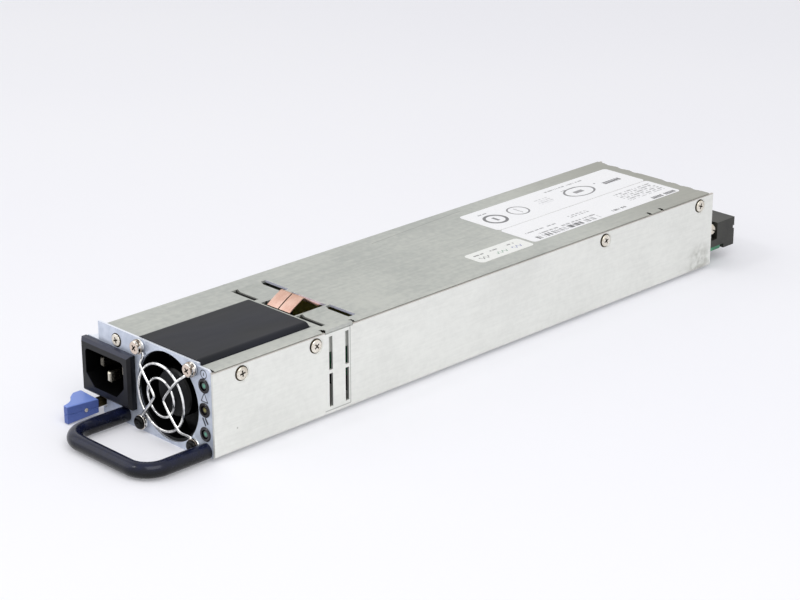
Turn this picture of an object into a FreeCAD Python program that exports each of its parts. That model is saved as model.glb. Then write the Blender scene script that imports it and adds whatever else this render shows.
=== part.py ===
import FreeCAD, Part
import math
import os

# Hot swap server power supply. Millimetres. The origin is the centre of the housing's
# underside: +X is the right side seen from the handle, +Y runs to the output end, +Z is up.

# Housing: a folded pan with a cover dropped in from above
BODY_W = 68.7
BODY_L = 304.0
BODY_H = 36.5
SHEET = 1.0
PAN_BEND_R = 1.4
COVER_BEND_R = 1.0
COVER_REAR_BEND_R = 1.6
COVER_LIP = 0.7
COVER_SEAM = 0.25
COVER_FLANGE = 9.0
COVER_SETBACK = 1.7
FIT = 0.15

# Front plate
PLATE_T = 1.0
PLATE_LEFT_OVERHANG = 1.4
PLATE_LIP_EXTRA = 0.8
PLATE_TOP_DROP = 0.4
PLATE_CORNER_R = 2.0
PLATE_FLANGE = 19.0
OPENING_MARGIN = 0.7
OPENING_DROP = 0.6

# Fan: two counter-rotating stages in one square frame
FAN_SIZE = 38.4
FAN_L = 56.0
FAN_RIGHT_GAP = 8.2
FAN_RISE = 0.35
FAN_WALL = 1.4
FAN_FLANGE_T = 4.5
FAN_CORNER_R = 3.2
FAN_HOLE_INSET = 3.2
FAN_HOLE_R = 1.7
TIP_GAP = 0.6
HUB_R = 10.0
HUB_WALL = 1.4
HUB_GAP = 2.0
STAGE_INSET = 2.0
FRONT_BLADES = 7
REAR_BLADES = 5
BLADE_T = 0.9
BLADE_CAMBER = 1.3
BLADE_CHORD_SHARE = 0.66
HUB_STAGGER = 38.0
TIP_STAGGER = 60.0
SPIDER_T = 4.0
SPIDER_ARMS = 5
ARM_T = 2.0
SHAFT_R = 1.0
SHAFT_CLEARANCE = 0.04
BEARING_R = 2.9
BEARING_L = 2.3
BEARING_TUBE_R = 3.9
STATOR_R = 7.3
STATOR_L = 11.0
STATOR_SHOULDER = 2.0
STATOR_CORE = 1.2
STATOR_SLOT = 1.8
BEARING_GAP = 3.2
MAGNET_T = 0.7
FAN_SHEET_T = 0.3
FAN_WINDOW_GAP = 0.8
FAN_WINDOW_EXTRA = 0.4
FAN_SHEET_DROP = 7.0

# Wire guard and its screws
WIRE_R = 0.6
GUARD_RING_INSET = 4.1
GUARD_RING_STEP = 5.8
WIRE_SIDES = 8
GUARD_STANDOFF = 3.4
GUARD_APEX = 2.1
EYELET_R = 2.4
GUARD_HEAD_R = 2.8
GUARD_HEAD_H = 1.4
GUARD_WASHER_R = 3.1
GUARD_WASHER_T = 0.8
GUARD_SHANK_R = 1.5
GUARD_SHANK_L = 6.0

# Mains inlet
INLET_FAN_GAP = 2.8
INLET_RISE = -0.35
INLET_W = 31.1
INLET_H = 23.0
INLET_PROUD = 3.5
INLET_BEVEL = 1.2
CAVITY_W = 24.2
CAVITY_H = 15.9
CAVITY_DEPTH = 17.0
CAVITY_TOP_R = 2.0
CAVITY_CHAMFER = 5.0
INLET_BODY_W = 26.8
INLET_BODY_H = 19.8
INLET_FLOOR_T = 3.0
PIN_W = 2.0
PIN_H = 4.0
PIN_SPREAD = 7.0
PIN_ROW_Z = 2.0
PIN_RECESS = 4.0
EARTH_DROP = 4.0
EARTH_LONGER = 2.0
PIN_TAIL = 8.0
SHROUD_T = 0.7
SHROUD_GAP = 0.3
SHROUD_FLANGE = 6.0

# Handle
HANDLE_R = 3.2
HANDLE_REACH = 30.2
HANDLE_Z = 2.3
HANDLE_RIGHT = 4.9
HANDLE_SPAN = 49.6
HANDLE_BEND_R = 9.5
TENON_R = 1.6
PEEN_R = 2.1
PEEN_H = 0.8

# Status lamps
LAMP_FROM_RIGHT = 5.3
LAMP_BELOW_TOP = 7.3
LAMP_PITCH = 10.05
LAMP_R = 3.0
LAMP_BODY_R = 2.7
LAMP_PROUD = 0.5
LENS_R = 1.9
LENS_RECESS = 0.5
LAMP_DEPTH = 5.0
LAMP_BOARD_T = 1.2

# Release latch: spring leaf on the left wall with a moulded tab
LEAF_T = 0.8
LEAF_GAP = 0.12
LEAF_Z0 = 1.4
LEAF_BELOW_INLET = 1.3
LEAF_NECK_H = 2.9
LEAF_ROOT_Y = 52.0
LEAF_ROOT_H = 9.0
LEAF_ROOT_R = 3.4
LEAF_CATCH_Y = 32.0
LEAF_CATCH_H = 2.2
LEAF_TRAVEL = 1.75
TAB_Z0 = -1.2
TAB_H = 7.4
TAB_SPLIT = 0.3
TAB_RISE = 2.0
TAB_HEEL = 4.3
ARM_FROM_TAB = 0.7
TAB_GRIP = 18.2
TAB_POCKET = 12.0
TAB_OUT = 9.6
TAB_IN = 1.6
RIVET_R = 1.4
RIVET_HEAD_R = 2.4
RIVET_HEAD_H = 0.8
TAB_PIN_R = 0.8

# Screws through the side walls and the front plate
SIDE_SCREWS_FROM_FRONT = (14.5, 53.0)
SIDE_SCREWS_FROM_REAR = (76.6, 9.6)
SIDE_SCREW_BELOW_TOP = 4.8
SIDE_HEAD_R = 3.1
SIDE_HEAD_H = 0.9
SIDE_SHANK_R = 1.4
SIDE_SHANK_L = 4.0
DIMPLE_R = 3.7
DIMPLE_DEPTH = 0.3
PLATE_SCREW_X = 58.5
PLATE_SCREW_BELOW_TOP = 3.8
PLATE_SCREW_R = 2.9
PLATE_SCREW_H = 0.6

# Slots in the right wall
SLOTS_AFTER_FAN = (2.9, 11.7)
SLOT_W = 1.9
SLOT_LOW = 3.5
SLOT_BELOW_TOP = 2.9
SLOT_LAND = 1.5

# Bridge louvres, clip opening and edge cuts in the cover
LOUVRE_LEFT_X = 59.6
LOUVRE_LEFT_W = 14.5
LOUVRE_RIGHT_X = 20.0
LOUVRE_RIGHT_W = 15.0
LOUVRE_AFTER_FAN = 3.4
LOUVRE_L = 19.0
LOUVRE_FRONT_SLOT = 2.8
LOUVRE_REAR_SLOT = 2.6
LOUVRE_DROP = 0.8
LOUVRE_RAMP = 1.6
CLIP_OPENING_X = 41.2
CLIP_OPENING_W = 20.2
CLIP_OPENING_L = 17.6
EDGE_CUTS_AFTER_FAN = (-0.4, 15.7)
EDGE_CUTS_FROM_REAR = (46.1, 37.6)
EDGE_CUT_W = 1.5
EDGE_CUT_DEPTH = 2.6
EDGE_CUT_FALL = 3.0
EDGE_TAB_DROP = 0.5

# Earthing clip: two sprung fingers that rise through the cover
FINGER_X = 38.5
FINGER_W = 6.4
FINGER_GAP = 0.7
FINGER_T = 0.35
FINGER_AFTER_FAN = 4.6
FINGER_RUN = 7.4
FINGER_LENGTH = 15.8
FINGER_TOP_H = 4.2
CLIP_SEAT_L = 8.0
CLIP_GAP = 0.3

# Rear vents
VENT_R = 3.5
VENT_ROW = 7.4
VENT_BELOW_TOP = 1.4
VENT_LEFT_X = 60.5
VENT_LEFT_PITCH = 7.9
VENT_RIGHT_X = 24.9
VENT_RIGHT_PITCH = 8.45
VENT_LAND = 1.2

# Output connector and board
BOARD_T = 1.6
BOARD_Z = 5.4
BOARD_AFTER_FAN = 27.0
BOARD_EDGE = 2.2
BOARD_TONGUE = 13.0
BOARD_CHAMFER = 2.5
CONN_FROM_RIGHT = 2.6
CONN_W = 48.0
CONN_TOP_Z = 18.5
CONN_NOSE_Z = 4.8
CONN_NOSE_L = 7.7
CONN_OUT = 21.0
CONN_IN = 8.0
CONN_SLOT_Z = 13.5
CONN_SLOT_H = 1.5
CONN_SLOT_DEPTH = 9.0
CONN_SLOT_SIDE = 0.9
CONN_PLUG_W = 2.0
CONN_RECESS_OUT = 8.0
CONN_RECESS_Z = 10.5
CONN_RECESS_W = 4.7
CONN_GAP = 0.4
CONTACT_COUNT = 12
CONTACT_W = 2.2
CONTACT_T = 0.3
CONN_SCREW_OUT = 5.2
CONN_SCREW_Z = 15.4
CONN_SCREW_R = 2.7
CONN_SCREW_H = 2.0
CONN_SCREW_SLOT = 0.7
CONN_BOSS_R = 2.2
CONN_BOSS_L = 2.3

# Board supports and the parts on the board
STANDOFF_R = 2.6
BOARD_SCREW_R = 2.4
BOARD_SCREW_H = 1.4
INSULATOR_T = 0.4
INSULATOR_LEAD = 4.0
STANDOFF_INSET = 7.0
STANDOFF_MID = 94.0
COVER_ROOM = 3.5
BULK_CAP_R = 12.0
BULK_CAP_START = 52.0
BULK_CAP_PITCH = 26.0
OUTPUT_CAP_R = 5.0
OUTPUT_CAP_H = 16.0
OUTPUT_CAP_PITCH = 11.0
OUTPUT_CAP_INSET = 8.0
OUTPUT_CAP_FROM_REAR = 34.0
PRIMARY_SINK_START = 40.0
SECONDARY_SINK_START = 100.0
HEATSINK_L = 46.0
HEATSINK_W = 16.0
HEATSINK_BASE = 4.0
FIN_COUNT = 5
FIN_T = 1.2
CORE_W = 30.0
CORE_L = 32.0
CORE_START = 100.0
CORE_X = 4.0
CORE_FOOT = 2.0
CORE_CAP = 5.0
BOBBIN_L = 20.0
CHOKE_X = 14.0
CHOKE_START = 24.0
CHOKE_R = 8.0
CHOKE_WIRE_R = 3.6
FILTER_W = 20.0
FILTER_L = 22.0
FILTER_H = 18.0
FILTER_START = 14.0
LEAD_R = 1.3
LEAD_BEND_R = 9.0
LEAD_STRAIGHT = 14.0
LEAD_PITCH = 4.5
LEAD_SIDES = 6

# Labels
LABEL_T = 0.12
LABEL_R = 2.0
RATING_X = (33.0, 58.0)
BARCODE_X = (11.5, 32.6)
LABEL_FROM_REAR = (110.5, 9.5)
STICKER_X = (9.6, 21.0)
STICKER_FROM_REAR = (146.0, 112.5)

# Places that follow from the sizes above
RIGHT = BODY_W / 2
LEFT = -RIGHT
FRONT = -BODY_L / 2
REAR = BODY_L / 2
PLATE_BACK = FRONT + PLATE_T
WALL_TOP = BODY_H - COVER_LIP
UNDER_COVER = BODY_H - SHEET
IN_RIGHT = RIGHT - SHEET - FIT
IN_LEFT = LEFT + SHEET + FIT
FAN_X = RIGHT - FAN_RIGHT_GAP - FAN_SIZE / 2
FAN_Z = BODY_H / 2 + FAN_RISE
FAN_BORE_R = FAN_SIZE / 2 - FAN_WALL
FAN_END = PLATE_BACK + FAN_L
INLET_X = FAN_X - FAN_SIZE / 2 - INLET_FAN_GAP - INLET_BODY_W / 2
INLET_Z = BODY_H / 2 + INLET_RISE
INLET_LOW = INLET_Z - INLET_BODY_H / 2 - SHROUD_GAP - SHROUD_T
LEAF_H = INLET_LOW - LEAF_BELOW_INLET - LEAF_Z0
SIDE_SCREW_Z = BODY_H - SIDE_SCREW_BELOW_TOP
PLATE_SCREW_Z = BODY_H - PLATE_SCREW_BELOW_TOP
LOUVRE_FRONT = FAN_END + LOUVRE_AFTER_FAN
FINGER_FRONT = FAN_END + FINGER_AFTER_FAN
FINGER_ROOT = FINGER_FRONT + FINGER_LENGTH
BOARD_FRONT = FAN_END + BOARD_AFTER_FAN
BOARD_TOP = BOARD_Z + BOARD_T
COVER_END = REAR - COVER_SETBACK
LATCH_X = LEFT - LEAF_GAP - LEAF_T
TIP_R = FAN_BORE_R - TIP_GAP
CONN_RIGHT = RIGHT - CONN_FROM_RIGHT
CONN_LEFT = CONN_RIGHT - CONN_W
CONN_END = REAR + CONN_OUT
INLET_END = FRONT - INLET_PROUD + CAVITY_DEPTH + INLET_FLOOR_T
INLET_TAIL_END = INLET_END + PIN_TAIL
HUB_FAR = FAN_L / 2 - STAGE_INSET
HUB_NEAR = SPIDER_T / 2 + HUB_GAP
BEARING_SPAN = HUB_FAR - HUB_WALL - BEARING_GAP
STATOR_SEAT = SPIDER_T / 2 + STATOR_SHOULDER

V = FreeCAD.Vector
X = V(1, 0, 0)
Y = V(0, 1, 0)
Z = V(0, 0, 1)


def box(x0, x1, y0, y1, z0, z1):
    return Part.makeBox(x1 - x0, y1 - y0, z1 - z0, V(x0, y0, z0))


def rod(x, y, z, radius, length, axis=Y):
    return Part.makeCylinder(radius, length, V(x, y, z), axis)


def prism(corners, sweep):
    loop = Part.makePolygon([V(*corner) for corner in corners + corners[:1]])
    return Part.Face(loop).extrude(sweep)


def round_edges(solid, radius, wanted):
    edges = [edge for edge in solid.Edges if wanted(edge)]
    return solid.makeFillet(radius, edges)


def runs_along(edge, axis):
    """True for a straight edge that lies along the axis."""
    ends = [vertex.Point for vertex in edge.Vertexes]
    return len(ends) == 2 and abs(abs((ends[1] - ends[0]).normalize().dot(axis)) - 1) < 1e-6


def fuse_all(solids):
    return solids[0].multiFuse(solids[1:]).removeSplitter()


def save(name, solids):
    shape = solids if isinstance(solids, Part.Shape) else Part.makeCompound(solids)
    shape.exportStep("parts/" + name + ".step")


def bent_path(points, radius):
    """Straight runs joined by tangent arcs of one radius."""
    edges = []
    start = points[0]
    for before, corner, after in zip(points, points[1:], points[2:]):
        arrive = (corner - before).normalize()
        leave = (after - corner).normalize()
        turn = arrive.getAngle(leave)
        reach = radius * math.tan(turn / 2)
        tangent_in = corner - arrive * reach
        tangent_out = corner + leave * reach
        inward = (leave - arrive).normalize()
        middle = corner + inward * (radius / math.cos(turn / 2) - radius)
        edges.append(Part.LineSegment(start, tangent_in).toShape())
        edges.append(Part.Arc(tangent_in, middle, tangent_out).toShape())
        start = tangent_out
    edges.append(Part.LineSegment(start, points[-1]).toShape())
    return Part.Wire(edges)


def tube(points, bend_radius, radius, sides=0):
    """Round bar along the path, or one with flat sides where a fine wire needs few faces."""
    path = bent_path(points, bend_radius)
    heading = (points[1] - points[0]).normalize()
    ring = Part.Wire([Part.makeCircle(radius, points[0], heading)])
    if sides:
        ring = flat_sided(points[0], heading, radius, sides)
    return path.makePipeShell([ring], True, False)


def flat_sided(centre, normal, radius, sides):
    """Regular polygon about the centre, in the plane square to the normal."""
    first = normal.cross(X if abs(normal.x) < 0.9 else Z).normalize()
    second = normal.cross(first)
    corners = []
    for index in range(sides):
        angle = math.pi * (2 * index + 1) / sides
        corners.append(centre + (first * math.cos(angle) + second * math.sin(angle)) * radius)
    return Part.makePolygon(corners + corners[:1])


def wire_ring(centre, radius, wire_r):
    """Ring of fine wire that lies square to Y."""
    section = flat_sided(centre + X * radius, Z, wire_r, WIRE_SIDES)
    return Part.Face(section).revolve(centre, Y, 360)


def screw(seat, out, head_r, head_h, shank_r, shank_l, crown):
    """Crowned head on its seat, with the shank behind it; out points away from the seat."""
    head = Part.makeCylinder(head_r, head_h, seat, out)
    head = head.makeChamfer(crown, [edge for edge in head.Edges if at_height(edge, seat, out, head_h)])
    shank = Part.makeCylinder(shank_r, shank_l, seat, out * -1)
    return head.fuse(shank).removeSplitter()


def at_height(edge, base, direction, height):
    """True for an edge that lies wholly in the plane that far above the base."""
    return all(abs((vertex.Point - base).dot(direction) - height) < 1e-6 for vertex in edge.Vertexes)


def side_screw_places(side):
    """Seats of the screws in one wall, 1 right and -1 left; the inlet takes the first place on the left."""
    depth = side * (RIGHT - DIMPLE_DEPTH)
    places = [FRONT + y for y in SIDE_SCREWS_FROM_FRONT] + [REAR - y for y in SIDE_SCREWS_FROM_REAR]
    if side < 0:
        places = places[1:]
    return [V(depth, y, SIDE_SCREW_Z) for y in places]


def side_screw_holes(side):
    return [Part.makeCylinder(SIDE_SHANK_R + FIT, SIDE_SHANK_L + SHEET, seat, X * -side)
            for seat in side_screw_places(side)]


def guard_screw_places(level):
    """The two screw axes above (level 1) or below (level -1) the fan's centre."""
    half = FAN_SIZE / 2 - FAN_HOLE_INSET
    return [V(FAN_X + side * half, FRONT, FAN_Z + level * half) for side in (-1, 1)]


def standoff_places():
    columns = (IN_LEFT + STANDOFF_INSET, IN_RIGHT - STANDOFF_INSET)
    rows = (BOARD_FRONT + STANDOFF_INSET, BOARD_FRONT + STANDOFF_MID, REAR - OUTPUT_CAP_FROM_REAR + CONN_IN)
    return [(x, y) for y in rows for x in columns]


# Housing

def base_pan():
    """Floor and two walls; the right wall runs past the end of the plate to its front face."""
    pan = box(LEFT, RIGHT, FRONT, REAR, 0, WALL_TOP)
    pan = round_edges(pan, PAN_BEND_R, lambda e: runs_along(e, Y) and e.BoundBox.ZMax < FIT)
    inside = box(LEFT + SHEET, RIGHT - SHEET, FRONT, REAR + SHEET, SHEET, BODY_H)
    inside = round_edges(inside, max(PAN_BEND_R - SHEET, FIT),
                         lambda e: runs_along(e, Y) and e.BoundBox.ZMax < SHEET + FIT)
    pan = pan.cut([inside, box(LEFT - SHEET, IN_RIGHT, FRONT - SHEET, PLATE_BACK, -SHEET, BODY_H)])
    cuts = [fan_window(-SHEET, 2 * SHEET), latch_window(), inlet_window()]
    cuts += wall_slots() + tenon_reliefs() + [edge_tab(COVER_SEAM)]
    for side in (-1, 1):
        cuts += side_screw_holes(side)
        cuts += [Part.makeCylinder(DIMPLE_R, SHEET, seat, X * side) for seat in side_screw_places(side)]
    return pan.cut(cuts)


def fan_window(z0, z1):
    half = FAN_SIZE / 2 + FAN_WINDOW_GAP
    return box(FAN_X - half, FAN_X + half, FRONT, FAN_END + FAN_WINDOW_EXTRA, z0, z1)


def latch_window():
    """Open-ended slot in the left wall that the leaf swings into."""
    top = LEAF_Z0 + LEAF_H + LEAF_GAP * 2
    end = FRONT + LEAF_ROOT_Y - LEAF_ROOT_R
    return box(LEFT - SHEET, LEFT + SHEET * 2, FRONT, end, LEAF_Z0 - LEAF_GAP * 2, top)


def inlet_window():
    gap = SHROUD_GAP
    half = INLET_BODY_H / 2 + gap
    end = INLET_TAIL_END + gap
    return box(LEFT - SHEET, LEFT + SHEET * 2, FRONT, end, INLET_Z - half, INLET_Z + half)


def wall_slots():
    height = (BODY_H - SLOT_BELOW_TOP - SLOT_LOW - SLOT_LAND) / 2
    levels = (SLOT_LOW, SLOT_LOW + height + SLOT_LAND)
    starts = [FAN_END + y for y in SLOTS_AFTER_FAN]
    return [box(RIGHT - 2 * SHEET, RIGHT + SHEET, y, y + SLOT_W, z, z + height)
            for y in starts for z in levels]


def handle_legs_x():
    return (RIGHT - HANDLE_RIGHT, RIGHT - HANDLE_RIGHT - HANDLE_SPAN)


def tenon_reliefs():
    reach = PEEN_R + FIT
    return [box(x - reach, x + reach, FRONT, PLATE_BACK + PEEN_H + FIT, -SHEET, HANDLE_Z + reach)
            for x in handle_legs_x()]


def top_cover():
    back = PLATE_BACK + FIT
    shell = box(LEFT, RIGHT, back, COVER_END, SHEET + FIT, BODY_H)
    shell = round_edges(shell, COVER_REAR_BEND_R,
                        lambda e: runs_along(e, X) and e.BoundBox.YMin > 0 and e.BoundBox.ZMin > SHEET * 2)
    shell = round_edges(shell, COVER_BEND_R,
                        lambda e: runs_along(e, Y) and e.BoundBox.ZMin > SHEET * 2)
    inner_x = IN_RIGHT - SHEET
    inside = box(-inner_x, inner_x, FRONT, COVER_END - SHEET, 0, UNDER_COVER)
    inside = round_edges(inside, COVER_REAR_BEND_R - SHEET,
                         lambda e: runs_along(e, X) and e.BoundBox.YMin > 0 and e.BoundBox.ZMin > SHEET)
    cuts = [inside, flange_relief()]
    for side in (-1, 1):
        edge = min(side * IN_RIGHT, side * (RIGHT + SHEET))
        cuts.append(box(edge, edge + RIGHT + SHEET - IN_RIGHT, FRONT, REAR, 0, WALL_TOP + COVER_SEAM))
        cuts += side_screw_holes(side)
    shell = shell.cut(cuts)
    cuts = [fan_window(WALL_TOP - COVER_FLANGE, BODY_H + SHEET), clip_opening(), connector_window()]
    cuts += edge_cuts() + rear_vents()
    cuts += [louvre_window(x0, width) for x0, width in louvre_places()]
    shell = shell.cut(cuts)
    bridges = [louvre_bridge(x0, width) for x0, width in louvre_places()]
    return fuse_all([shell, front_tab(), edge_tab(0)] + bridges).cut(plate_screw_hole())


def flange_relief():
    """Below the side flanges, from the front end to the rear flange."""
    start = FRONT
    low = box(LEFT, RIGHT, start, COVER_END - COVER_REAR_BEND_R, 0, UNDER_COVER - COVER_FLANGE)
    front = box(LEFT, RIGHT, start, PLATE_BACK + PLATE_FLANGE + SHEET, 0, UNDER_COVER)
    return low.fuse(front)


def front_tab():
    """Tongue folded down behind the front plate for the plate screw."""
    x = RIGHT - PLATE_SCREW_X
    half = PLATE_SCREW_R + SHEET
    y = PLATE_BACK + FIT
    return box(x - half, x + half, y, y + SHEET, PLATE_SCREW_Z - PLATE_SCREW_R, BODY_H - SHEET / 2)


def plate_screw_hole():
    return rod(RIGHT - PLATE_SCREW_X, FRONT - SHEET, PLATE_SCREW_Z, SIDE_SHANK_R + FIT, SIDE_SHANK_L + SHEET)


def clip_opening():
    x0 = RIGHT - CLIP_OPENING_X
    y0 = LOUVRE_FRONT
    return box(x0, x0 + CLIP_OPENING_W, y0, y0 + CLIP_OPENING_L, UNDER_COVER - SHEET, BODY_H + SHEET)


def edge_cuts():
    starts = [FAN_END + y for y in EDGE_CUTS_AFTER_FAN] + [REAR - y for y in EDGE_CUTS_FROM_REAR]
    low = WALL_TOP - EDGE_CUT_FALL
    return [box(RIGHT - EDGE_CUT_DEPTH, RIGHT + SHEET, y, y + EDGE_CUT_W, low, BODY_H + SHEET)
            for y in starts]


def edge_tab(gap):
    """Lip of the cover that hangs over the wall between the front cuts; gap widens it for the wall's dip."""
    start, end = (FAN_END + y for y in EDGE_CUTS_AFTER_FAN)
    low = WALL_TOP - EDGE_TAB_DROP - gap
    return box(IN_RIGHT - FIT, RIGHT, start + EDGE_CUT_W - gap, end + gap, low, WALL_TOP + SHEET)


def louvre_places():
    return ((RIGHT - LOUVRE_LEFT_X, LOUVRE_LEFT_W), (RIGHT - LOUVRE_RIGHT_X, LOUVRE_RIGHT_W))


def louvre_window(x0, width):
    y0 = LOUVRE_FRONT
    return box(x0, x0 + width, y0, y0 + LOUVRE_L, UNDER_COVER - SHEET, BODY_H + SHEET)


def louvre_bridge(x0, width):
    """Panel pressed below the cover and joined to it by a ramp at each end."""
    y0 = LOUVRE_FRONT + LOUVRE_FRONT_SLOT
    length = LOUVRE_L - LOUVRE_FRONT_SLOT - LOUVRE_REAR_SLOT
    low = BODY_H - LOUVRE_DROP
    ends = ((x0, BODY_H), (x0 + LOUVRE_RAMP, low), (x0 + width - LOUVRE_RAMP, low), (x0 + width, BODY_H))
    upper = [(x, y0, z) for x, z in ends]
    lower = [(x, y0, z - SHEET) for x, z in reversed(ends)]
    return prism(upper + lower, Y * length)


def rear_vents():
    """Staggered round holes; the top row is punched across the bend line and scallops it."""
    vents = []
    bend = COVER_END - COVER_REAR_BEND_R
    reach = COVER_REAR_BEND_R + SHEET
    top = BODY_H - VENT_BELOW_TOP
    rows = int((top - SHEET - VENT_R) / VENT_ROW) + 1
    banks = ((RIGHT - VENT_LEFT_X, VENT_LEFT_PITCH), (RIGHT - VENT_RIGHT_X, VENT_RIGHT_PITCH))
    for row in range(rows):
        z = top - row * VENT_ROW
        for start, pitch in banks:
            for column in range(3):
                x = start + column * pitch
                if z - VENT_R - VENT_LAND > CONN_TOP_Z or x + VENT_R + VENT_LAND < CONN_LEFT:
                    vents.append(rod(x, bend, z, VENT_R, reach))
                if row == 0:
                    centre = COVER_END + VENT_BELOW_TOP
                    vents.append(rod(x, centre, UNDER_COVER - SHEET, VENT_R, 3 * SHEET, Z))
    return vents


def connector_window():
    left = CONN_LEFT - BOARD_EDGE - CONN_GAP
    return box(left, RIGHT, COVER_END - SHEET * 2, REAR, 0, CONN_TOP_Z + CONN_GAP)


def front_plate():
    """Flat plate with the inlet's ear on the left and folded flanges inside the walls."""
    left = LEFT - PLATE_LEFT_OVERHANG
    right = IN_RIGHT
    top = FAN_Z + FAN_SIZE / 2 + FAN_SHEET_T - PLATE_TOP_DROP
    bottom = FAN_Z - FAN_SIZE / 2 - FAN_SHEET_T - PLATE_LIP_EXTRA
    ear = INLET_X - INLET_BODY_W / 2 - SHROUD_GAP - SHROUD_T
    ear_half = INLET_BODY_H / 2 + SHROUD_GAP + SHROUD_T + PLATE_T
    notch = LATCH_X + LEAF_T + LEAF_TRAVEL + LEAF_GAP
    sill = LEFT - PLATE_T / 2
    notch_low = LEAF_Z0 - 2 * FIT
    step = RIGHT - FAN_RIGHT_GAP
    outline = [
        (left, INLET_Z + ear_half), (left, top), (step, top), (step, BODY_H), (right, BODY_H), (right, 0),
        (step, 0), (step, bottom), (sill, bottom), (sill, notch_low), (notch, notch_low),
        (notch, INLET_Z - ear_half), (ear, INLET_Z - ear_half), (ear, INLET_Z + ear_half),
    ]
    plate = prism([(x, FRONT, z) for x, z in outline], Y * PLATE_T)
    plate = round_edges(plate, PLATE_CORNER_R, lambda e: runs_along(e, Y) and e.BoundBox.ZMin > FAN_Z
                        and e.BoundBox.XMin > right - FIT)
    plate = fuse_all([plate] + plate_flanges())
    opening = rod(FAN_X, FRONT - SHEET, FAN_Z - OPENING_DROP, FAN_BORE_R + OPENING_MARGIN, SHEET + PLATE_T)
    holes = [opening, plate_screw_hole()]
    holes += [rod(p.x, FRONT - SHEET, p.z, FAN_HOLE_R, SHEET + PLATE_T)
              for level in (-1, 1) for p in guard_screw_places(level)]
    holes += [rod(x, FRONT - SHEET, HANDLE_Z, TENON_R, SHEET + PLATE_T) for x in handle_legs_x()]
    holes += [rod(p.x, FRONT - SHEET, p.z, LAMP_R, SHEET + PLATE_T) for p in lamp_places()]
    half_w = INLET_BODY_W / 2
    half_h = INLET_BODY_H / 2
    holes.append(box(INLET_X - half_w, INLET_X + half_w, FRONT - SHEET, PLATE_BACK,
                     INLET_Z - half_h, INLET_Z + half_h))
    holes += side_screw_holes(-1) + side_screw_holes(1)
    return plate.cut(holes)


def plate_flanges():
    end = PLATE_BACK + PLATE_FLANGE
    start = FRONT
    right = box(IN_RIGHT - PLATE_T, IN_RIGHT, start, end, SHEET + PAN_BEND_R, UNDER_COVER - FIT)
    low = INLET_Z + INLET_BODY_H / 2 + FIT
    left = box(IN_LEFT, IN_LEFT + PLATE_T, start, end, low, UNDER_COVER - FIT)
    return [right, left]


def plate_screw():
    seat = V(RIGHT - PLATE_SCREW_X, FRONT, PLATE_SCREW_Z)
    return screw(seat, Y * -1, PLATE_SCREW_R, PLATE_SCREW_H, SIDE_SHANK_R, SIDE_SHANK_L, PLATE_SCREW_H / 2)


def side_screws(side):
    return [screw(seat, X * side, SIDE_HEAD_R, SIDE_HEAD_H, SIDE_SHANK_R, SIDE_SHANK_L, SIDE_HEAD_H / 2)
            for seat in side_screw_places(side)]


# Fan

def fan_sheet(level):
    """Thin black sheet folded over the fan (level 1) or under it (level -1)."""
    half = FAN_SIZE / 2 + FIT
    outer = half + FAN_SHEET_T
    leg = FAN_SIZE / 2 - FAN_SHEET_DROP
    end = FAN_END + FAN_WINDOW_EXTRA - FAN_WINDOW_GAP / 2
    skin = box(FAN_X - outer, FAN_X + outer, PLATE_BACK, end, leg, FAN_SIZE / 2 + FAN_SHEET_T)
    core = box(FAN_X - half, FAN_X + half, FRONT, end + SHEET, 0, FAN_SIZE / 2)
    skin = round_edges(skin, FAN_CORNER_R, lambda e: runs_along(e, Y) and e.BoundBox.ZMin > leg + FIT)
    core = round_edges(core, FAN_CORNER_R - FAN_SHEET_T, lambda e: runs_along(e, Y) and e.BoundBox.ZMin > leg)
    sheet = skin.cut(core)
    if level < 0:
        sheet = sheet.mirror(V(0, 0, 0), Z)
    sheet.translate(V(0, 0, FAN_Z))
    return sheet


def fan_frame():
    half = FAN_SIZE / 2
    start = PLATE_BACK
    end = start + FAN_L
    barrel = rod(FAN_X, start, FAN_Z, half, FAN_L)
    flanges = [fan_flange(start), fan_flange(end - FAN_FLANGE_T)]
    frame = barrel.multiFuse(flanges)
    frame = frame.cut(rod(FAN_X, start - SHEET, FAN_Z, FAN_BORE_R, FAN_L + 2 * SHEET))
    frame = fuse_all([frame] + spider())
    holes = [rod(p.x, start - SHEET, p.z, FAN_HOLE_R, FAN_L + 2 * SHEET)
             for level in (-1, 1) for p in guard_screw_places(level)]
    holes.append(rod(FAN_X, start, FAN_Z, BEARING_R + SHAFT_CLEARANCE, FAN_L))
    return frame.cut(holes)


def fan_flange(y):
    half = FAN_SIZE / 2
    plate = box(FAN_X - half, FAN_X + half, y, y + FAN_FLANGE_T, FAN_Z - half, FAN_Z + half)
    return round_edges(plate, FAN_CORNER_R, lambda e: runs_along(e, Y))


def spider():
    """Middle disc, its arms to the barrel, and a bearing tube towards each stage."""
    middle = PLATE_BACK + FAN_L / 2
    pieces = [rod(FAN_X, middle - SPIDER_T / 2, FAN_Z, HUB_R - FIT, SPIDER_T)]
    tube_l = BEARING_SPAN
    pieces.append(rod(FAN_X, middle - tube_l, FAN_Z, BEARING_TUBE_R, 2 * tube_l))
    pieces.append(rod(FAN_X, middle - STATOR_SEAT, FAN_Z, BEARING_TUBE_R + SHEET, 2 * STATOR_SEAT))
    arm_r = FAN_BORE_R + (FAN_SIZE / 2 - FAN_BORE_R) / 2
    for index in range(SPIDER_ARMS):
        arm = box(0, arm_r, middle - SPIDER_T / 2 + FIT, middle + SPIDER_T / 2 - FIT, -ARM_T / 2, ARM_T / 2)
        arm.rotate(V(0, 0, 0), Y, 90 + index * 360 / SPIDER_ARMS)
        arm.translate(V(FAN_X, 0, FAN_Z))
        pieces.append(arm)
    return pieces


def stage_point(stage, reach):
    """A Y place measured from the fan's middle towards the stage: -1 is the front one."""
    return PLATE_BACK + FAN_L / 2 + stage * reach


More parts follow.
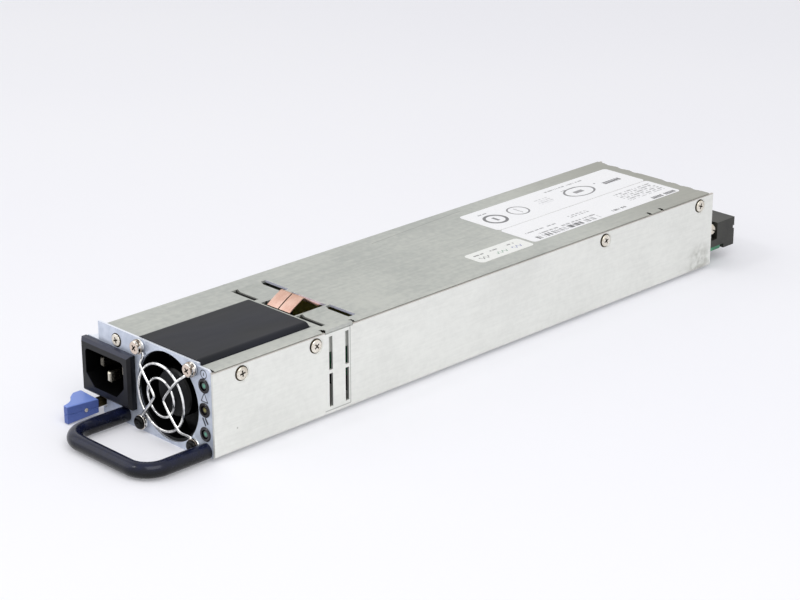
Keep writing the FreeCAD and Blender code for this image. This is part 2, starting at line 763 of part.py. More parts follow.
def stage_rod(stage, near, far, radius):
    """Cylinder on the fan's axis between two distances from the middle."""
    start = min(stage_point(stage, near), stage_point(stage, far))
    return rod(FAN_X, start, FAN_Z, radius, abs(far - near))


def rotor(stage, count):
    """Cup-shaped hub with twisted, cambered blades."""
    hub = stage_rod(stage, HUB_NEAR, HUB_FAR, HUB_R)
    face = stage_point(stage, HUB_FAR)
    hub = hub.makeChamfer(HUB_WALL / 2, [e for e in hub.Edges if abs(e.BoundBox.YMin - face) < FIT
                                         and e.BoundBox.YLength < FIT])
    hub = hub.cut(stage_rod(stage, HUB_NEAR - SHEET, HUB_FAR - HUB_WALL, HUB_R - HUB_WALL))
    boss = stage_rod(stage, HUB_FAR - HUB_WALL - 2.4, HUB_FAR - HUB_WALL / 2, SHAFT_R + 1.6)
    blade = blade_blank(stage)
    blades = []
    for index in range(count):
        copy = blade.copy()
        copy.rotate(V(FAN_X, 0, FAN_Z), Y, index * 360 / count)
        blades.append(copy)
    whole = fuse_all([hub, boss] + blades)
    return whole.cut(stage_rod(stage, HUB_NEAR, HUB_FAR - HUB_WALL / 2, SHAFT_R))


def blade_blank(stage):
    """One blade lofted outward from the hub and trimmed to the tip circle."""
    inner = HUB_R - HUB_WALL / 2
    outer = TIP_R + SHEET
    sections = [blade_section(stage, inner, HUB_STAGGER), blade_section(stage, outer, TIP_STAGGER)]
    blade = Part.makeLoft(sections, True, True)
    return blade.common(stage_rod(stage, HUB_NEAR, HUB_FAR, TIP_R))


def blade_section(stage, radius, stagger):
    """Thin cambered section in the plane that stands radius above the axis."""
    angle = math.radians(stagger)
    chord = BLADE_CHORD_SHARE * (HUB_FAR - HUB_NEAR)
    centre = stage_point(stage, (HUB_NEAR + HUB_FAR) / 2 + 1)
    along = V(math.sin(angle), stage * math.cos(angle), 0)
    across = V(stage * math.cos(angle), -math.sin(angle), 0)
    middle = V(FAN_X, centre, FAN_Z + radius)
    lead = middle + along * (chord / 2)
    trail = middle - along * (chord / 2)
    upper = middle + across * (BLADE_CAMBER + BLADE_T / 2)
    lower = middle + across * (BLADE_CAMBER - BLADE_T / 2)
    return Part.makePolygon([lead, upper, trail, lower, lead])


def shaft(stage):
    return stage_rod(stage, SPIDER_T / 2 + 0.5, HUB_FAR - HUB_WALL / 2, SHAFT_R)


def bearings(stage):
    outer_end = BEARING_SPAN - 0.5
    inner_end = SPIDER_T / 2 + 1.5
    rings = []
    for near in (inner_end, outer_end - BEARING_L):
        ring = stage_rod(stage, near, near + BEARING_L, BEARING_R)
        rings.append(ring.cut(stage_rod(stage, near - 1, near + BEARING_L + 1, SHAFT_R + SHAFT_CLEARANCE)))
    return rings


def stator(stage):
    """Laminated core with four coil poles, pushed over the bearing tube."""
    near = STATOR_SEAT
    core = stage_rod(stage, near, near + STATOR_L, STATOR_R)
    slots = []
    for index in range(4):
        slot = box(BEARING_TUBE_R + STATOR_CORE, STATOR_R + SHEET, stage_point(-1, FAN_L),
                   stage_point(1, FAN_L), -STATOR_SLOT / 2, STATOR_SLOT / 2)
        slot.rotate(V(0, 0, 0), Y, 45 + index * 90)
        slot.translate(V(FAN_X, 0, FAN_Z))
        slots.append(slot)
    bore = stage_rod(stage, near - 1, near + STATOR_L + 1, BEARING_TUBE_R + SHAFT_CLEARANCE)
    return core.cut(slots + [bore])


def magnet(stage):
    outer = HUB_R - HUB_WALL
    near = STATOR_SEAT
    ring = stage_rod(stage, near, near + STATOR_L, outer)
    return ring.cut(stage_rod(stage, near - 1, near + STATOR_L + 1, outer - MAGNET_T))


# Wire guard

def fan_guard():
    plane = FRONT - GUARD_STANDOFF
    outer = FAN_BORE_R - GUARD_RING_INSET
    rings = [wire_ring(V(FAN_X, plane, FAN_Z), radius, WIRE_R) for radius in (outer, outer - GUARD_RING_STEP)]
    wires = [guard_wire(side) for side in (-1, 1)]
    eyelets = [wire_ring(V(p.x, FRONT - WIRE_R, p.z), EYELET_R, WIRE_R)
               for level in (-1, 1) for p in guard_screw_places(level)]
    return fuse_all(rings + wires + eyelets)


def guard_wire(side):
    """Bent wire from the upper eyelet to the lower one, laid over both rings."""
    upper = guard_screw_places(1)[0 if side < 0 else 1]
    apex = V(FAN_X + side * GUARD_APEX, FRONT - GUARD_STANDOFF - WIRE_R * 1.8, FAN_Z)
    level = V(upper.x, apex.y, upper.z)
    inward = (apex - level).normalize()
    start = V(upper.x, FRONT - WIRE_R, upper.z) + inward * EYELET_R
    foot = V(upper.x, FRONT - WIRE_R, upper.z) + inward * (GUARD_WASHER_R + WIRE_R + 2 * FIT)
    rise = level + inward * (GUARD_WASHER_R + GUARD_STANDOFF + WIRE_R)
    points = [start, foot, rise, apex]
    points += [V(p.x, p.y, 2 * FAN_Z - p.z) for p in (rise, foot, start)]
    return tube(points, WIRE_R * 2, WIRE_R, WIRE_SIDES)


def guard_screws(level):
    return [guard_screw(place) for place in guard_screw_places(level)]


def guard_screw(place):
    """Crowned screw with a washer under its head, seated on the wire eyelet."""
    seat = V(place.x, FRONT - WIRE_R * 2, place.z)
    washer = Part.makeCylinder(GUARD_WASHER_R, GUARD_WASHER_T, seat, Y * -1)
    length = GUARD_SHANK_L + GUARD_WASHER_T
    head = screw(seat - Y * GUARD_WASHER_T, Y * -1, GUARD_HEAD_R, GUARD_HEAD_H, GUARD_SHANK_R, length,
                 GUARD_HEAD_H / 2)
    return fuse_all([washer, head])


# Mains inlet

def cavity_outline():
    """Six-sided opening, wide at the top, with chamfered lower corners."""
    half = CAVITY_W / 2
    low = INLET_Z - CAVITY_H / 2
    high = INLET_Z + CAVITY_H / 2
    cut = CAVITY_CHAMFER
    return [(-half, high), (half, high), (half, low + cut), (half - cut, low), (cut - half, low),
            (-half, low + cut)]


def inlet_housing():
    half_w = INLET_W / 2
    half_h = INLET_H / 2
    front = FRONT - INLET_PROUD
    bezel = box(INLET_X - half_w, INLET_X + half_w, front, FRONT, INLET_Z - half_h, INLET_Z + half_h)
    bezel = bezel.makeChamfer(INLET_BEVEL, [e for e in bezel.Edges if e.BoundBox.YMax < front + FIT])
    end = INLET_END
    half_w = INLET_BODY_W / 2
    half_h = INLET_BODY_H / 2
    body = box(INLET_X - half_w, INLET_X + half_w, FRONT, end, INLET_Z - half_h, INLET_Z + half_h)
    cavity = prism([(INLET_X + x, front - SHEET, z) for x, z in cavity_outline()], Y * (CAVITY_DEPTH + SHEET))
    high = INLET_Z + CAVITY_H / 2
    cavity = round_edges(cavity, CAVITY_TOP_R, lambda e: runs_along(e, Y) and e.BoundBox.ZMin > high - FIT)
    pins = [pin.copy() for pin in inlet_pins()]
    return bezel.fuse(body).removeSplitter().cut([cavity] + pins)


def inlet_pins():
    tip = FRONT - INLET_PROUD + PIN_RECESS
    end = INLET_TAIL_END
    row = INLET_Z + PIN_ROW_Z
    places = ((-PIN_SPREAD, row, 0), (PIN_SPREAD, row, 0), (0, row - EARTH_DROP, EARTH_LONGER))
    pins = []
    for offset, z, longer in places:
        x = INLET_X + offset
        pin = box(x - PIN_W / 2, x + PIN_W / 2, tip - longer, end, z - PIN_H / 2, z + PIN_H / 2)
        nose = [e for e in pin.Edges if e.BoundBox.YMax < tip - longer + FIT]
        pins.append(pin.makeChamfer(PIN_W / 4, nose))
    return pins


def inlet_shroud():
    """Folded box over the part of the inlet that stands outside the left wall."""
    left = INLET_X - INLET_BODY_W / 2 - SHROUD_GAP
    half = INLET_BODY_H / 2 + SHROUD_GAP
    end = INLET_TAIL_END + SHROUD_GAP
    outer = box(left - SHROUD_T, LEFT, PLATE_BACK, end + SHROUD_T, INLET_Z - half - SHROUD_T,
                INLET_Z + half + SHROUD_T)
    flange_end = end + SHROUD_T + SHROUD_FLANGE
    flange = box(LEFT - SHROUD_T, LEFT, PLATE_BACK, flange_end, INLET_Z - half, INLET_Z + half)
    inner = box(left, LEFT + SHEET, FRONT, end, INLET_Z - half, INLET_Z + half)
    return fuse_all([outer, flange]).cut(inner)


# Handle

def handle():
    """Bent rod whose legs end in tenons peened over behind the plate."""
    right, left = handle_legs_x()
    reach = FRONT - HANDLE_REACH
    points = [V(right, FRONT, HANDLE_Z), V(right, reach, HANDLE_Z), V(left, reach, HANDLE_Z),
              V(left, FRONT, HANDLE_Z)]
    bar = tube(points, HANDLE_BEND_R, HANDLE_R)
    ends = []
    for x in (right, left):
        ends.append(rod(x, FRONT, HANDLE_Z, TENON_R, PLATE_T))
        ends.append(rod(x, PLATE_BACK, HANDLE_Z, PEEN_R, PEEN_H))
    return fuse_all([bar] + ends)


# Status lamps

def lamp_places():
    x = RIGHT - LAMP_FROM_RIGHT
    return [V(x, FRONT, BODY_H - LAMP_BELOW_TOP - index * LAMP_PITCH) for index in range(3)]


def lamp_bezels():
    bezels = []
    for place in lamp_places():
        collar = rod(place.x, FRONT - LAMP_PROUD, place.z, LAMP_R, LAMP_PROUD + PLATE_T)
        rim = [e for e in collar.Edges if e.BoundBox.YMax < FRONT - FIT]
        collar = collar.makeChamfer(LAMP_PROUD / 2, rim)
        barrel = rod(place.x, FRONT, place.z, LAMP_BODY_R, PLATE_T + LAMP_DEPTH)
        bezel = fuse_all([collar, barrel])
        bezels.append(bezel.cut(rod(place.x, FRONT - SHEET, place.z, LENS_R, LAMP_DEPTH * 2)))
    return bezels


def lamp_lens(place):
    start = FRONT - LAMP_PROUD + LENS_RECESS
    lens = rod(place.x, start, place.z, LENS_R, PLATE_BACK + LAMP_DEPTH - start)
    return lens.makeChamfer(LENS_R / 3, [e for e in lens.Edges if e.BoundBox.YMax < start + FIT])


def lamp_board():
    x = RIGHT - LAMP_FROM_RIGHT
    y = PLATE_BACK + LAMP_DEPTH
    left = RIGHT - FAN_RIGHT_GAP + FAN_SHEET_T + 3 * FIT
    low = lamp_places()[-1].z - LAMP_R - SHEET
    high = lamp_places()[0].z + LAMP_R + SHEET
    return box(left, x + LAMP_R, y, y + LAMP_BOARD_T, low, high)


# Release latch

def latch_leaf():
    """Spring strip along the left wall: root pad, arm with a catch, and a narrow tongue inside the tab."""
    x0 = LATCH_X
    root = FRONT + LEAF_ROOT_Y
    neck = FRONT - TAB_HEEL + ARM_FROM_TAB
    tip = FRONT - TAB_POCKET
    arm = box(x0, x0 + LEAF_T, neck, root, LEAF_Z0, LEAF_Z0 + LEAF_H)
    thin = box(x0, x0 + LEAF_T, tip, neck, LEAF_Z0, LEAF_Z0 + LEAF_NECK_H)
    pad = box(x0, x0 + LEAF_T, root - LEAF_ROOT_R, root + LEAF_ROOT_R, LEAF_Z0, LEAF_Z0 + LEAF_ROOT_H)
    pad = round_edges(pad, LEAF_ROOT_R / 2, lambda e: runs_along(e, X))
    catch_y = FRONT + LEAF_CATCH_Y
    catch = prism([(x0, catch_y, LEAF_Z0), (x0 - LEAF_CATCH_H, catch_y, LEAF_Z0),
                   (x0 - LEAF_CATCH_H, catch_y + LEAF_T, LEAF_Z0), (x0, catch_y + LEAF_CATCH_H * 3, LEAF_Z0)],
                  Z * LEAF_H)
    leaf = fuse_all([arm, thin, pad, catch])
    holes = [rod(x0 - SHEET, root, z, RIVET_R + LEAF_GAP * 2, SHEET * 3, X) for z in rivet_heights()]
    holes.append(tab_pin())
    return leaf.cut(holes)


def rivet_heights():
    middle = LEAF_Z0 + LEAF_ROOT_H / 2
    return (middle - 2.4, middle + 2.4)


def latch_rivets():
    """Two rivets on the leaf's swing axis, heads just clear of it."""
    seat_x = LATCH_X - LEAF_GAP
    length = LEFT - seat_x + SHEET
    rivets = []
    for z in rivet_heights():
        seat = V(seat_x, FRONT + LEAF_ROOT_Y, z)
        rivets.append(screw(seat, X * -1, RIVET_HEAD_R, RIVET_HEAD_H, RIVET_R, length, RIVET_HEAD_H / 2))
    return rivets


def rivet_holes():
    return [rod(LEFT - SHEET, FRONT + LEAF_ROOT_Y, z, RIVET_R, SHEET * 3, X) for z in rivet_heights()]


def latch_tab():
    """Moulded thumb tab, swept outward with a hollow for the finger and a sole that rises to the plate."""
    face = Part.Face(Part.Wire(tab_outline()))
    tab = face.extrude(Z * TAB_H)
    tab = round_edges(tab, TAB_IN / 2, lambda e: runs_along(e, Z) and e.BoundBox.XMax < LATCH_X)
    tab = round_edges(tab, TAB_SPLIT * 2, lambda e: e.BoundBox.ZMin > TAB_Z0 + TAB_H - FIT)
    return tab.cut([tab_pocket(), tab_pin(), parting_line(face), tab_sole()])


def tab_outline():
    """Edges of the tab seen from above: straight inner flank and a concave thumb side."""
    z = TAB_Z0
    grip = FRONT - TAB_GRIP
    inner = LATCH_X + LEAF_T + TAB_IN
    outer = LATCH_X - TAB_OUT
    heel = FRONT - TAB_HEEL
    tip = inner - TAB_OUT * 0.45
    corners = [V(inner + 0.4, heel, z), V(inner - TAB_IN, grip, z), V(tip, grip, z),
               V(outer + 2.3, heel - 6.3, z), V(outer, heel - 3.4, z), V(outer, heel + 0.8, z)]
    hollow = V(LATCH_X - TAB_OUT * 0.45, heel - 8.6, z)
    edges = [Part.LineSegment(corners[n], corners[(n + 1) % 6]).toShape() for n in range(6)]
    edges[2] = Part.Arc(corners[2], hollow, corners[3]).toShape()
    return edges


def tab_pocket():
    return box(LATCH_X, LATCH_X + LEAF_T, FRONT - TAB_POCKET, FRONT, LEAF_Z0, LEAF_Z0 + LEAF_NECK_H)


def parting_line(face):
    """Fine groove round the tab at half its height."""
    groove = face.makeOffset2D(1.0).cut(face.makeOffset2D(-TAB_SPLIT)).extrude(Z * TAB_SPLIT)
    groove.translate(V(0, 0, TAB_H / 2))
    return groove


def tab_sole():
    """Wedge under the tab that lifts its heel clear of the plate's lower edge."""
    x0 = LATCH_X - TAB_OUT - 1
    low = TAB_Z0 - 1
    start = FRONT - TAB_GRIP
    end = FRONT
    return prism([(x0, start, low), (x0, start, TAB_Z0), (x0, end, TAB_Z0 + TAB_RISE), (x0, end, low)],
                 X * (TAB_OUT + LEAF_T + TAB_IN + 2))


def tab_pin():
    z = LEAF_Z0 + LEAF_NECK_H / 2
    return rod(LATCH_X - 2.0, FRONT - TAB_POCKET + 2, z, TAB_PIN_R, 2.0 + LEAF_T + TAB_IN, X)


# Earthing clip

def clip_finger(index):
    """Thin strip arched above the cover, free in front and rooted under the rear edge."""
    x0 = RIGHT - FINGER_X + index * (FINGER_W + FINGER_GAP)
    low = UNDER_COVER - CLIP_GAP
    front = V(x0, FINGER_FRONT, BODY_H - 0.2)
    top = V(x0, FINGER_FRONT + FINGER_RUN, BODY_H + FINGER_TOP_H)
    knee = top + V(0, 1.2, -0.2)
    root = V(x0, FINGER_ROOT, low)
    rise = Part.Arc(front, front + (top - front) * 0.5 + V(0, -0.08, 0.1), top).toShape()
    crown = Part.Arc(top, top + V(0, 0.65, 0.08), knee).toShape()
    fall = Part.LineSegment(knee, root).toShape()
    line = Part.Wire([rise, crown, fall])
    section = line.makeOffset2D(FINGER_T, 0, True, True)
    return section.extrude(X * FINGER_W)


def clip_base():
    x0 = RIGHT - FINGER_X
    width = 2 * FINGER_W + FINGER_GAP
    y0 = FINGER_ROOT + CLIP_GAP
    return box(x0, x0 + width, y0, y0 + CLIP_SEAT_L, UNDER_COVER - FINGER_T, UNDER_COVER)


# Board, connector and the parts behind the fan

def main_board():
    x0 = IN_LEFT + BOARD_EDGE
    x1 = IN_RIGHT - BOARD_EDGE
    tongue_x = CONN_LEFT - BOARD_EDGE
    y0 = BOARD_FRONT
    y1 = COVER_END - 2 * SHEET - CONN_GAP
    y2 = REAR + BOARD_TONGUE
    cut = BOARD_CHAMFER
    right = CONN_RIGHT
    outline = [(x0, y0), (x1, y0), (x1, y1), (right, y1), (right, y2 - cut), (right - cut, y2),
               (tongue_x, y2), (tongue_x, y1), (x0, y1)]
    board = prism([(x, y, BOARD_Z) for x, y in outline], Z * BOARD_T)
    return board.cut([rod(x, y, 0, SIDE_SHANK_R + FIT, BOARD_TOP + SHEET, Z) for x, y in standoff_places()])


def standoffs():
    posts = []
    for x, y in standoff_places():
        hexagon = flat_sided(V(x, y, SHEET), Z, STANDOFF_R, 6)
        post = Part.Face(hexagon).extrude(Z * (BOARD_Z - SHEET))
        posts.append(post.cut(rod(x, y, SHEET, SIDE_SHANK_R + FIT, BOARD_Z, Z)))
    return posts


def board_screws():
    return [screw(V(x, y, BOARD_TOP), Z, BOARD_SCREW_R, BOARD_SCREW_H, SIDE_SHANK_R, BOARD_T + 2.0, FIT)
            for x, y in standoff_places()]


def insulation_sheet():
    y0 = BOARD_FRONT - INSULATOR_LEAD
    sheet = box(IN_LEFT + SHEET, IN_RIGHT - SHEET, y0, COVER_END - 2 * SHEET, SHEET, SHEET + INSULATOR_T)
    holes = [Part.Face(flat_sided(V(x, y, 0), Z, STANDOFF_R + 2 * FIT, 6)) for x, y in standoff_places()]
    return sheet.cut([hole.extrude(Z * BOARD_Z) for hole in holes])


def output_connector():
    """Moulded block on the board with a full-width slot and a recessed fixing at one corner."""
    y0 = REAR - CONN_IN
    y1 = CONN_END
    block = box(CONN_LEFT, CONN_RIGHT, y0, y1, BOARD_TOP, CONN_TOP_Z)
    nose = box(CONN_LEFT, CONN_RIGHT, y1 - CONN_NOSE_L, y1, CONN_NOSE_Z, CONN_TOP_Z)
    block = fuse_all([block, nose])
    low = CONN_SLOT_Z - CONN_SLOT_H / 2
    high = CONN_SLOT_Z + CONN_SLOT_H / 2
    slot = box(CONN_LEFT - SHEET, CONN_RIGHT + SHEET, y1 - CONN_SLOT_DEPTH, y1 + SHEET, low, high)
    plugs = [box(x, x + CONN_PLUG_W, y1 - CONN_SLOT_DEPTH, y1 - CONN_SLOT_SIDE, low, high)
             for x in (CONN_LEFT, CONN_RIGHT - CONN_PLUG_W)]
    block = fuse_all([block.cut(slot)] + plugs)
    recess = box(CONN_RIGHT - CONN_RECESS_W, CONN_RIGHT + 1, y0 - 1, REAR + CONN_RECESS_OUT, CONN_RECESS_Z,
                 CONN_TOP_Z + 1)
    seat = connector_screw_seat()
    boss = Part.makeCylinder(CONN_BOSS_R, CONN_BOSS_L + FIT, seat, X * -1)
    hole = Part.makeCylinder(SIDE_SHANK_R + FIT, SIDE_SHANK_L + CONN_BOSS_L + SHEET, seat, X * -1)
    return fuse_all([block.cut([recess] + contact_pockets()), boss]).cut(hole)


def connector_screw_seat():
    return V(CONN_RIGHT - CONN_RECESS_W + CONN_BOSS_L, REAR + CONN_SCREW_OUT, CONN_SCREW_Z)


def connector_screw():
    """Slotted screw in the recess, its head level with the block's side."""
    seat = connector_screw_seat()
    length = SIDE_SHANK_L + CONN_BOSS_L
    head = screw(seat, X, CONN_SCREW_R, CONN_SCREW_H, SIDE_SHANK_R, length, CONN_SCREW_H / 2)
    half = CONN_SCREW_SLOT / 2
    floor = seat.x + CONN_SCREW_H / 2
    slot = box(floor, floor + CONN_SCREW_H, seat.y - CONN_SCREW_R, seat.y + CONN_SCREW_R,
               seat.z - half, seat.z + half)
    return head.cut(slot)


def contact_columns():
    pitch = (CONN_W - 8) / CONTACT_COUNT
    return [CONN_LEFT + 4 + pitch * (index + 0.5) for index in range(CONTACT_COUNT)]


def contact_box(x, level, grow):
    y1 = CONN_END
    edge = CONN_SLOT_Z + level * CONN_SLOT_H / 2
    inner = edge + level * CONTACT_T
    return box(x - CONTACT_W / 2 - grow, x + CONTACT_W / 2 + grow, y1 - CONN_SLOT_DEPTH + 0.5, y1 - 1.2,
               min(edge, inner), max(edge, inner))


def contact_pockets():
    return [contact_box(x, level, 0) for x in contact_columns() for level in (-1, 1)]


def output_contacts():
    return contact_pockets()


def bulk_capacitors():
    x = IN_LEFT + BOARD_EDGE + BULK_CAP_R + 6
    height = UNDER_COVER - COVER_ROOM - BOARD_TOP
    cans = []
    for index in range(2):
        y = BOARD_FRONT + BULK_CAP_START + index * BULK_CAP_PITCH
        can = rod(x, y, BOARD_TOP, BULK_CAP_R, height, Z)
        rim = [e for e in can.Edges if e.BoundBox.ZMin > BOARD_TOP + height - FIT]
        cans.append(can.makeChamfer(BULK_CAP_R / 10, rim))
    return cans


def output_capacitors():
    x0 = CONN_LEFT + OUTPUT_CAP_INSET
    y0 = REAR - OUTPUT_CAP_FROM_REAR
    pitch = OUTPUT_CAP_PITCH
    return [rod(x0 + pitch * column, y0 - pitch * row, BOARD_TOP, OUTPUT_CAP_R, OUTPUT_CAP_H, Z)
            for column in range(3) for row in range(2)]


def heatsink(x0, start):
    """Extruded base with upright fins, standing on the board."""
    y0 = BOARD_FRONT + start
    top = UNDER_COVER - COVER_ROOM
    base = box(x0, x0 + HEATSINK_W, y0, y0 + HEATSINK_L, BOARD_TOP, BOARD_TOP + HEATSINK_BASE)
    pitch = (HEATSINK_W - FIN_T) / (FIN_COUNT - 1)
    fins = [box(x0 + pitch * n, x0 + pitch * n + FIN_T, y0, y0 + HEATSINK_L, BOARD_TOP, top)
            for n in range(FIN_COUNT)]
    return fuse_all([base] + fins)


def transformer_core():
    """Two E halves as one block with a window for the bobbin."""
    x0 = CORE_X - CORE_W / 2
    y0 = BOARD_FRONT + CORE_START
    top = UNDER_COVER - COVER_ROOM
    core = box(x0, x0 + CORE_W, y0, y0 + CORE_L, BOARD_TOP + CORE_FOOT, top)
    gap = (CORE_L - BOBBIN_L) / 2
    window = box(x0 - 1, x0 + CORE_W + 1, y0 + gap, y0 + CORE_L - gap, BOARD_TOP, top - CORE_CAP)
    return core.cut(window)


def transformer_bobbin():
    x0 = CORE_X - CORE_W / 2
    y0 = BOARD_FRONT + CORE_START + (CORE_L - BOBBIN_L) / 2 + FIT
    top = UNDER_COVER - COVER_ROOM - CORE_CAP - FIT
    return box(x0 + FIT, x0 + CORE_W - FIT, y0, y0 + BOBBIN_L - 2 * FIT, BOARD_TOP, top)


def filter_choke():
    """Wound ring lying on a round foot."""
    centre = V(CHOKE_X, BOARD_FRONT + CHOKE_START, BOARD_TOP + CHOKE_WIRE_R)
    section = flat_sided(centre + X * CHOKE_R, Y, CHOKE_WIRE_R, WIRE_SIDES)
    ring = Part.Face(section).revolve(centre, Z, 360)
    foot = rod(centre.x, centre.y, BOARD_TOP, CHOKE_R, CHOKE_WIRE_R / 2, Z)
    return fuse_all([ring, foot])


def filter_block():
    y0 = BOARD_FRONT + FILTER_START
    x0 = IN_LEFT + BOARD_EDGE + 2
    return box(x0, x0 + FILTER_W, y0, y0 + FILTER_L, BOARD_TOP, BOARD_TOP + FILTER_H)


def mains_leads():
    """Three insulated leads from the inlet's tails to the board's front edge."""
    start_y = INLET_END + 1.0
    end_y = BOARD_FRONT + LEAD_PITCH
    row = INLET_Z + PIN_ROW_Z
    starts = ((-PIN_SPREAD, row), (0, row - EARTH_DROP), (PIN_SPREAD, row))
    leads = []
    for index, (offset, z) in enumerate(starts):
        x = max(INLET_X + offset + PIN_W / 2, IN_LEFT) + LEAD_R + FIT
        end_x = IN_LEFT + BOARD_EDGE + LEAD_PITCH * (index + 1)
        low = BOARD_TOP + LEAD_R
        points = [V(x, start_y, z), V(x, start_y + LEAD_STRAIGHT, z), V(end_x, end_y - LEAD_STRAIGHT, low),
                  V(end_x, end_y, low)]
        leads.append(tube(points, LEAD_BEND_R, LEAD_R, LEAD_SIDES))
    return leads


# Labels

def label(span_x, from_rear):
    """Thin plate with rounded corners on the cover."""
    x0 = RIGHT - max(span_x)
    x1 = RIGHT - min(span_x)
    plate = box(x0, x1, REAR - from_rear[0], REAR - from_rear[1], BODY_H, BODY_H + LABEL_T)
    return round_edges(plate, LABEL_R, lambda e: runs_along(e, Z))


def build():
    lamps = lamp_places()
    save("base_pan", base_pan().cut(rivet_holes()))
    save("top_cover", top_cover())
    save("front_plate", front_plate())
    save("plate_screw", plate_screw())
    save("side_screws_right", side_screws(1))
    save("side_screws_left", side_screws(-1))
    save("fan_sheet_top", fan_sheet(1))
    save("fan_sheet_bottom", fan_sheet(-1))
    save("fan_frame", fan_frame())
    for stage, name, count in ((-1, "front", FRONT_BLADES), (1, "rear", REAR_BLADES)):
        save(name + "_rotor", rotor(stage, count))
        save(name + "_shaft", shaft(stage))
        save(name + "_bearings", bearings(stage))
        save(name + "_stator", stator(stage))
        save(name + "_magnet", magnet(stage))
    save("fan_guard", fan_guard())
    save("guard_screws_upper", guard_screws(1))
    save("guard_screws_lower", guard_screws(-1))
    save("inlet_housing", inlet_housing())
    save("inlet_pins", inlet_pins())
    save("inlet_shroud", inlet_shroud())
    save("handle", handle())
    save("lamp_bezels", lamp_bezels())
    save("lamp_lenses_green", [lamp_lens(lamps[0]), lamp_lens(lamps[2])])
    save("lamp_lens_amber", lamp_lens(lamps[1]))
    save("lamp_board", lamp_board())
    save("latch_leaf", latch_leaf())
    save("latch_tab", latch_tab())
    save("latch_pin", tab_pin())
    save("latch_rivets", latch_rivets())
    save("clip_base", clip_base())
    save("clip_finger_left", clip_finger(0))
    save("clip_finger_right", clip_finger(1))
    save("main_board", main_board())
    save("standoffs", standoffs())
    save("board_screws", board_screws())
    save("insulation_sheet", insulation_sheet())
    save("output_connector", output_connector())
    save("output_contacts", output_contacts())
    save("connector_screw", connector_screw())
    save("bulk_capacitors", bulk_capacitors())
    save("output_capacitors", output_capacitors())
    save("primary_heatsink", heatsink(IN_RIGHT - BOARD_EDGE - HEATSINK_W - 1, PRIMARY_SINK_START))
    save("secondary_heatsink", heatsink(IN_LEFT + BOARD_EDGE + 1, SECONDARY_SINK_START))
    save("transformer_core", transformer_core())
    save("transformer_bobbin", transformer_bobbin())
    save("filter_choke", filter_choke())
    save("filter_block", filter_block())
    save("mains_leads", mains_leads())
    save("rating_label", label(RATING_X, LABEL_FROM_REAR))
    save("barcode_label", label(BARCODE_X, LABEL_FROM_REAR))
    save("inspection_sticker", label(STICKER_X, STICKER_FROM_REAR))


os.makedirs("parts", exist_ok=True)
build()
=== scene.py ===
import math

import bpy
from mathutils import Matrix, Vector


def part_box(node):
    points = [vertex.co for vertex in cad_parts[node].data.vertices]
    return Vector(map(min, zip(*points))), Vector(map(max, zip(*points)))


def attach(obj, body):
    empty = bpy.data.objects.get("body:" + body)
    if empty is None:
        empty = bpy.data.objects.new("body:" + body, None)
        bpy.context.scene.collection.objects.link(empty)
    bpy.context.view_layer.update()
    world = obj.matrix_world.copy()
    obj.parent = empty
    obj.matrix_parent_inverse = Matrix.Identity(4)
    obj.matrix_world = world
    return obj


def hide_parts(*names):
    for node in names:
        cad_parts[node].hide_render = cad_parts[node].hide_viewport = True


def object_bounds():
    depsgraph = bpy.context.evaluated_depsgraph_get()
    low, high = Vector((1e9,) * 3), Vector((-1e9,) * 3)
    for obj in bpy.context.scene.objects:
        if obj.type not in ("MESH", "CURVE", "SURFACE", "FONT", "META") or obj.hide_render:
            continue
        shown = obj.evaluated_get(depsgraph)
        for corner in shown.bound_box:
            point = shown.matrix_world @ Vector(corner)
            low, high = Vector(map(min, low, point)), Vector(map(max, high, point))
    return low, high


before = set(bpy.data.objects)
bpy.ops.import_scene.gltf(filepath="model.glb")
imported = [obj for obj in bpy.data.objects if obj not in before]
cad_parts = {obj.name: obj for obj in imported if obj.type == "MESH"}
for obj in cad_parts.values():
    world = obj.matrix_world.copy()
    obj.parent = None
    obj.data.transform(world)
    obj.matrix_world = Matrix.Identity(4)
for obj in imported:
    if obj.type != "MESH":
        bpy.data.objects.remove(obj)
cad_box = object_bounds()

bpy.ops.object.select_all(action="DESELECT")
